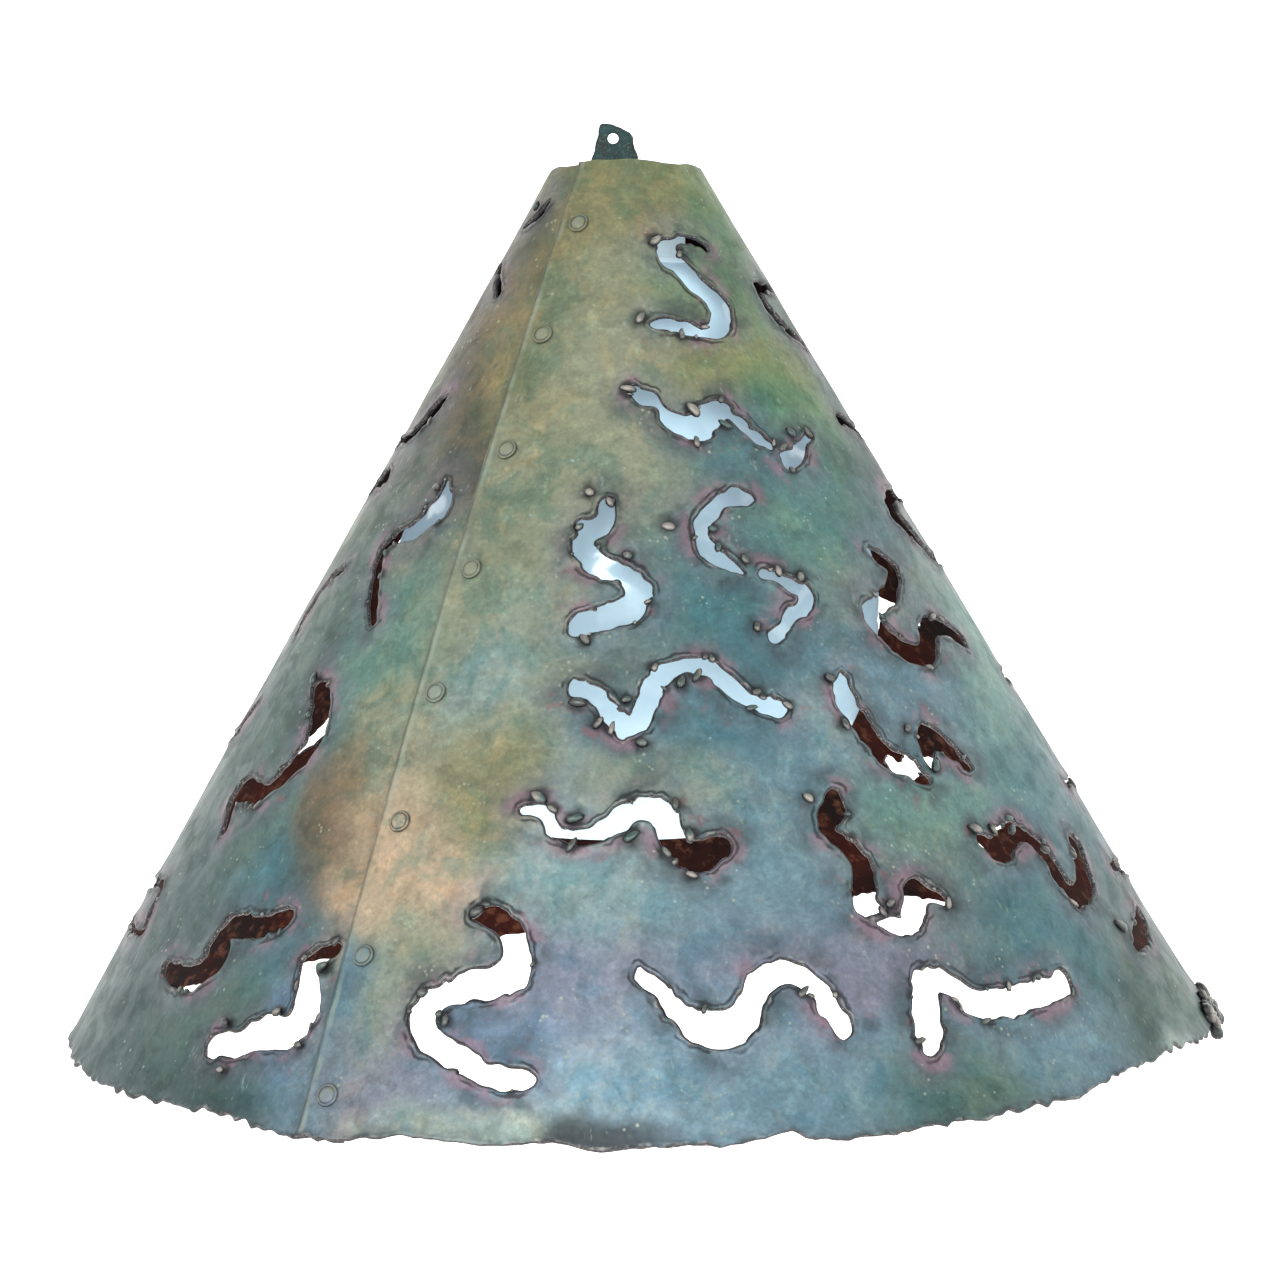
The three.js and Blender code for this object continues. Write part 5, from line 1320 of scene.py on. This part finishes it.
plate_edge = outside(PLATE_TOP) - SHEET / COS_A - PLATE_GAP
lathe("top_disc", "top_plate", rounded(ring_section(NIPPLE_HOLE, plate_edge, PLATE_BOTTOM, PLATE_TOP), 0.4), plate)
for number, side in ((1, -1), (2, 1)):
    seat, tail = LUG_BASE + LUG_THICKNESS + CLEARANCE - RIM_Z, PLATE_BOTTOM - CLEARANCE
    lathe(f"lug_rivet_head_{number}", f"lug_rivet_{number}", [
        (0, tail - LUG_RIVET_HEIGHT), (1.6, tail - LUG_RIVET_HEIGHT), (LUG_RIVET_HEAD - 0.3, tail - 0.8),
        (LUG_RIVET_HEAD, tail - 0.2), (LUG_RIVET_HEAD, tail), (LUG_RIVET_SHANK, tail), (LUG_RIVET_SHANK, seat),
        (LUG_RIVET_HEAD, seat), (LUG_RIVET_HEAD, seat + 0.3), (LUG_RIVET_HEAD - 0.5, seat + 0.8),
        (1.5, seat + LUG_RIVET_HEIGHT - 0.1), (0, seat + LUG_RIVET_HEIGHT),
    ], steel, centre=(side * LUG_RIVET_GAP / 2, -LUG_THICKNESS / 2 - LUG_FOOT / 2), sides=32)

nipple_bottom = NIPPLE_TOP - NIPPLE_LENGTH
lathe("threaded_nipple", "nipple", [
    (NIPPLE_BORE, nipple_bottom), (NIPPLE_RADIUS - 0.4, nipple_bottom),
    *thread(NIPPLE_RADIUS, NIPPLE_RADIUS - 0.35, nipple_bottom + 0.3, NIPPLE_TOP - 0.3, NIPPLE_PITCH),
    (NIPPLE_RADIUS - 0.4, NIPPLE_TOP), (NIPPLE_BORE, NIPPLE_TOP), (NIPPLE_BORE, nipple_bottom),
], brass, sides=48)
washer = ring_section(NIPPLE_HOLE, WASHER_RADIUS, WASHER_TOP - WASHER_THICKNESS, WASHER_TOP)
lathe("plain_washer", "nipple_washer", rounded(washer, 0.25), steel, sides=64)
collar = NIPPLE_TOP + CLEARANCE
lathe("flex_inlet_bush", "flex_bush", rounded([
    (BUSH_BORE, collar - 11), (NIPPLE_BORE - CLEARANCE, collar - 11), (NIPPLE_BORE - CLEARANCE, collar),
    (BUSH_COLLAR, collar), (BUSH_COLLAR - 0.3, collar + 1), (BUSH_BORE, collar + 1), (BUSH_BORE, collar - 11),
], 0.35), phenolic, sides=48)

skirt = HOLDER_BORE + HOLDER_WALL
dome_foot = HOLDER_CAP + 10.0


def dome(wide, narrow, rise):
    """A quarter of an ellipse that closes a dome in."""
    turns = np.linspace(0, math.pi / 2, 13)
    return [(narrow + (wide - narrow) * math.cos(turn), dome_foot + rise * math.sin(turn)) for turn in turns]


lathe("holder_dome", "holder_cap", [
    *rounded([(HOLDER_BORE, HOLDER_CAP), (skirt + 4.3, HOLDER_CAP), (skirt + 4.3, HOLDER_CAP + HOLDER_WALL),
              (skirt, HOLDER_CAP + HOLDER_WALL), (skirt, dome_foot)], 0.6),
    *dome(skirt, NIPPLE_HOLE + HOLDER_WALL, 7.3)[1:],
    (NIPPLE_HOLE + HOLDER_WALL, HOLDER_TOP - 0.4), (NIPPLE_HOLE + HOLDER_WALL - 0.4, HOLDER_TOP),
    (NIPPLE_HOLE, HOLDER_TOP),
    *dome(HOLDER_BORE, NIPPLE_HOLE, 5.3)[::-1], (HOLDER_BORE, HOLDER_CAP),
], glowing_moulding)
sleeve_mouth, sleeve_bore, sleeve_top = SCREW_RADIUS + CLEARANCE, HOLDER_RADIUS - HOLDER_WALL, HOLDER_CAP + HOLDER_TUCK
lathe("holder_sleeve", "holder_shell", rounded([
    (sleeve_mouth, HOLDER_BOTTOM), (HOLDER_RADIUS, HOLDER_BOTTOM), (HOLDER_RADIUS, sleeve_top),
    (sleeve_bore, sleeve_top), (sleeve_bore, HOLDER_BOTTOM + HOLDER_WALL),
    (sleeve_mouth, HOLDER_BOTTOM + HOLDER_WALL), (sleeve_mouth, HOLDER_BOTTOM),
], 0.6), glowing_moulding)
screw_bottom = HOLDER_BOTTOM + 1.0
screw_root = SCREW_RADIUS - THREAD_DEPTH
lathe("threaded_shell", "screw_shell", [
    (SCREW_RADIUS, screw_bottom), (SCREW_RADIUS, SCREW_TOP),
    *thread(screw_root, screw_root - THREAD_DEPTH, screw_bottom, SCREW_TOP, SCREW_PITCH)[::-1],
    (SCREW_RADIUS, screw_bottom),
], brass, sides=72)
ring_body = HOLDER_BORE + RING_WALL
lathe("grip_ring", "glass_ring", rounded([
    (HOLDER_BORE, RING_TOP - RING_HEIGHT), (ring_body, RING_TOP - RING_HEIGHT), (ring_body, RING_TOP - 4.6),
    (ring_body, RING_TOP - 2.5), (ring_body + 4, RING_TOP - 2.5), (ring_body + 4, RING_TOP), (HOLDER_BORE, RING_TOP),
    (HOLDER_BORE, RING_TOP - RING_HEIGHT),
], 0.6), glowing_moulding, "ring", sides=192, flutes=32, flute_depth=0.7,
      flute_span=(RING_TOP - RING_HEIGHT + 0.5, RING_TOP - 2.6))
lathe("opal_shade", "diffuser", glass_profile(), glowing_opal, sides=128)
lathe("bulb_globe", "bulb_glass", bulb_profile(), frosted, "bulb")
cap_inner = BULB_CAP_RADIUS - THREAD_DEPTH - BULB_CAP_WALL
lathe("threaded_cap", "bulb_cap", [
    (cap_inner, BULB_CAP_BOTTOM), (BULB_CAP_RADIUS - 0.4, BULB_CAP_BOTTOM),
    *thread(BULB_CAP_RADIUS, BULB_CAP_RADIUS - THREAD_DEPTH, BULB_CAP_BOTTOM + 0.6, BULB_CAP_TOP, SCREW_PITCH),
    (10, BULB_CAP_TOP + 1), (5.9, BULB_CAP_TOP + 1), (5.9, BULB_CAP_TOP + 0.3), (9.3, BULB_CAP_TOP - 0.4),
    (cap_inner, BULB_CAP_TOP - 1.7), (cap_inner, BULB_CAP_BOTTOM),
], cap_metal, "bulb", sides=72)

# Pieces shown as they are in CAD, with their edges softened
SOFT_EDGE = 0.25
SHARP_FROM = 35
kept = {
    "nipple_nut_upper": brass, "nipple_nut_lower": brass, "holder_core": ceramic, "middle_contact": brass,
    "terminal_screw_1": brass, "terminal_screw_2": brass, "bulb_insulator": phenolic, "bulb_contact": solder,
}
for name, finish in kept.items():
    piece = frame["nodes"][name]
    piece.data.materials.clear()
    piece.data.materials.append(finish)
    weld = piece.modifiers.new("weld", "WELD")
    weld.merge_threshold = 0.01 * MM
    bevel = piece.modifiers.new("soft edges", "BEVEL")
    bevel.width, bevel.segments = SOFT_EDGE * MM, 2
    bevel.limit_method, bevel.angle_limit = "ANGLE", math.radians(SHARP_FROM)

# Studio, in metres: a pale bowl far below and round the lamp, with large soft lights as [name, place, size, power]
LIGHTS = [
    ["key", (-0.9, -2.9, 1.1), 1.8, 75], ["fill", (1.5, -2.6, 0.2), 1.8, 40],
    ["crown", (0.2, 0.8, 2.6), 2.0, 22], ["under", (0.3, -0.4, -1.7), 1.6, 8],
]
LAMP_MIDDLE = -0.16
ROOM_LIGHT = 0.7
FLOOR = -1.9
BOWL = [(0, 0), (3.2, 0), (4.0, 0.14), (4.6, 0.55), (4.95, 1.2), (5.05, 2.0), (5.05, 6.5)]
bowl_points, bowl_faces = revolve(curve_through(BOWL, 0.12).tolist(), 96)
pale = mottled_finish("pale_floor", (246, 246, 245), (248, 248, 247), (250, 250, 249), 900, (0.9, 1.0), 0.0, 0.05,
                      Emission_Color=(1.0, 1.0, 1.0), Emission_Strength=0.5)
bowl_faces = [face[::-1] for face in bowl_faces]
bowl = make_mesh("studio_bowl", [(x, y, z + FLOOR) for x, y, z in bowl_points], bowl_faces, [pale])
for name, place, size, power in LIGHTS:
    lamp = bpy.data.lights.new(name, "AREA")
    lamp.shape, lamp.size, lamp.energy = "DISK", size, power
    stand = bpy.data.objects.new(name, lamp)
    stand.location = place
    aim = Vector((AXIS_X * MM, AXIS_Y * MM, LAMP_MIDDLE)) - Vector(place)
    stand.rotation_euler = aim.to_track_quat("-Z", "Y").to_euler()
    bpy.context.scene.collection.objects.link(stand)
world = bpy.data.worlds.new("white room")
world.use_nodes = True
background = world.node_tree.nodes["Background"]
background.inputs["Color"].default_value = (1, 1, 1, 1)
background.inputs["Strength"].default_value = ROOM_LIGHT
bpy.context.scene.world = world

# The camera, at the photograph's angle: how far it is turned aside, tipped down and rolled, in degrees
TURN, TIP_DOWN, ROLL = 0.128, 3.755, 0.963
LENS = 78.604
CAMERA_PLACE = (AXIS_X * MM, -0.9943, -0.11195)
turn, tip, roll = (math.radians(value) for value in (TURN, TIP_DOWN, ROLL))
level_right = Vector((math.cos(turn), -math.sin(turn), 0))
level_ahead = Vector((math.sin(turn), math.cos(turn), 0))
ahead = level_ahead * math.cos(tip) - Vector((0, 0, math.sin(tip)))
above = level_ahead * math.sin(tip) + Vector((0, 0, math.cos(tip)))
right = level_right * math.cos(roll) - above * math.sin(roll)
up = level_right * math.sin(roll) + above * math.cos(roll)
lens = bpy.data.cameras.new("camera")
lens.lens, lens.sensor_width, lens.clip_start, lens.clip_end = LENS, 36, 0.01, 50
camera = bpy.data.objects.new("camera", lens)
camera.matrix_world = Matrix.Translation(CAMERA_PLACE) @ Matrix((right, up, -ahead)).transposed().to_4x4()
bpy.context.scene.collection.objects.link(camera)
bpy.context.scene.camera = camera
bpy.context.scene.view_settings.view_transform = "Standard"
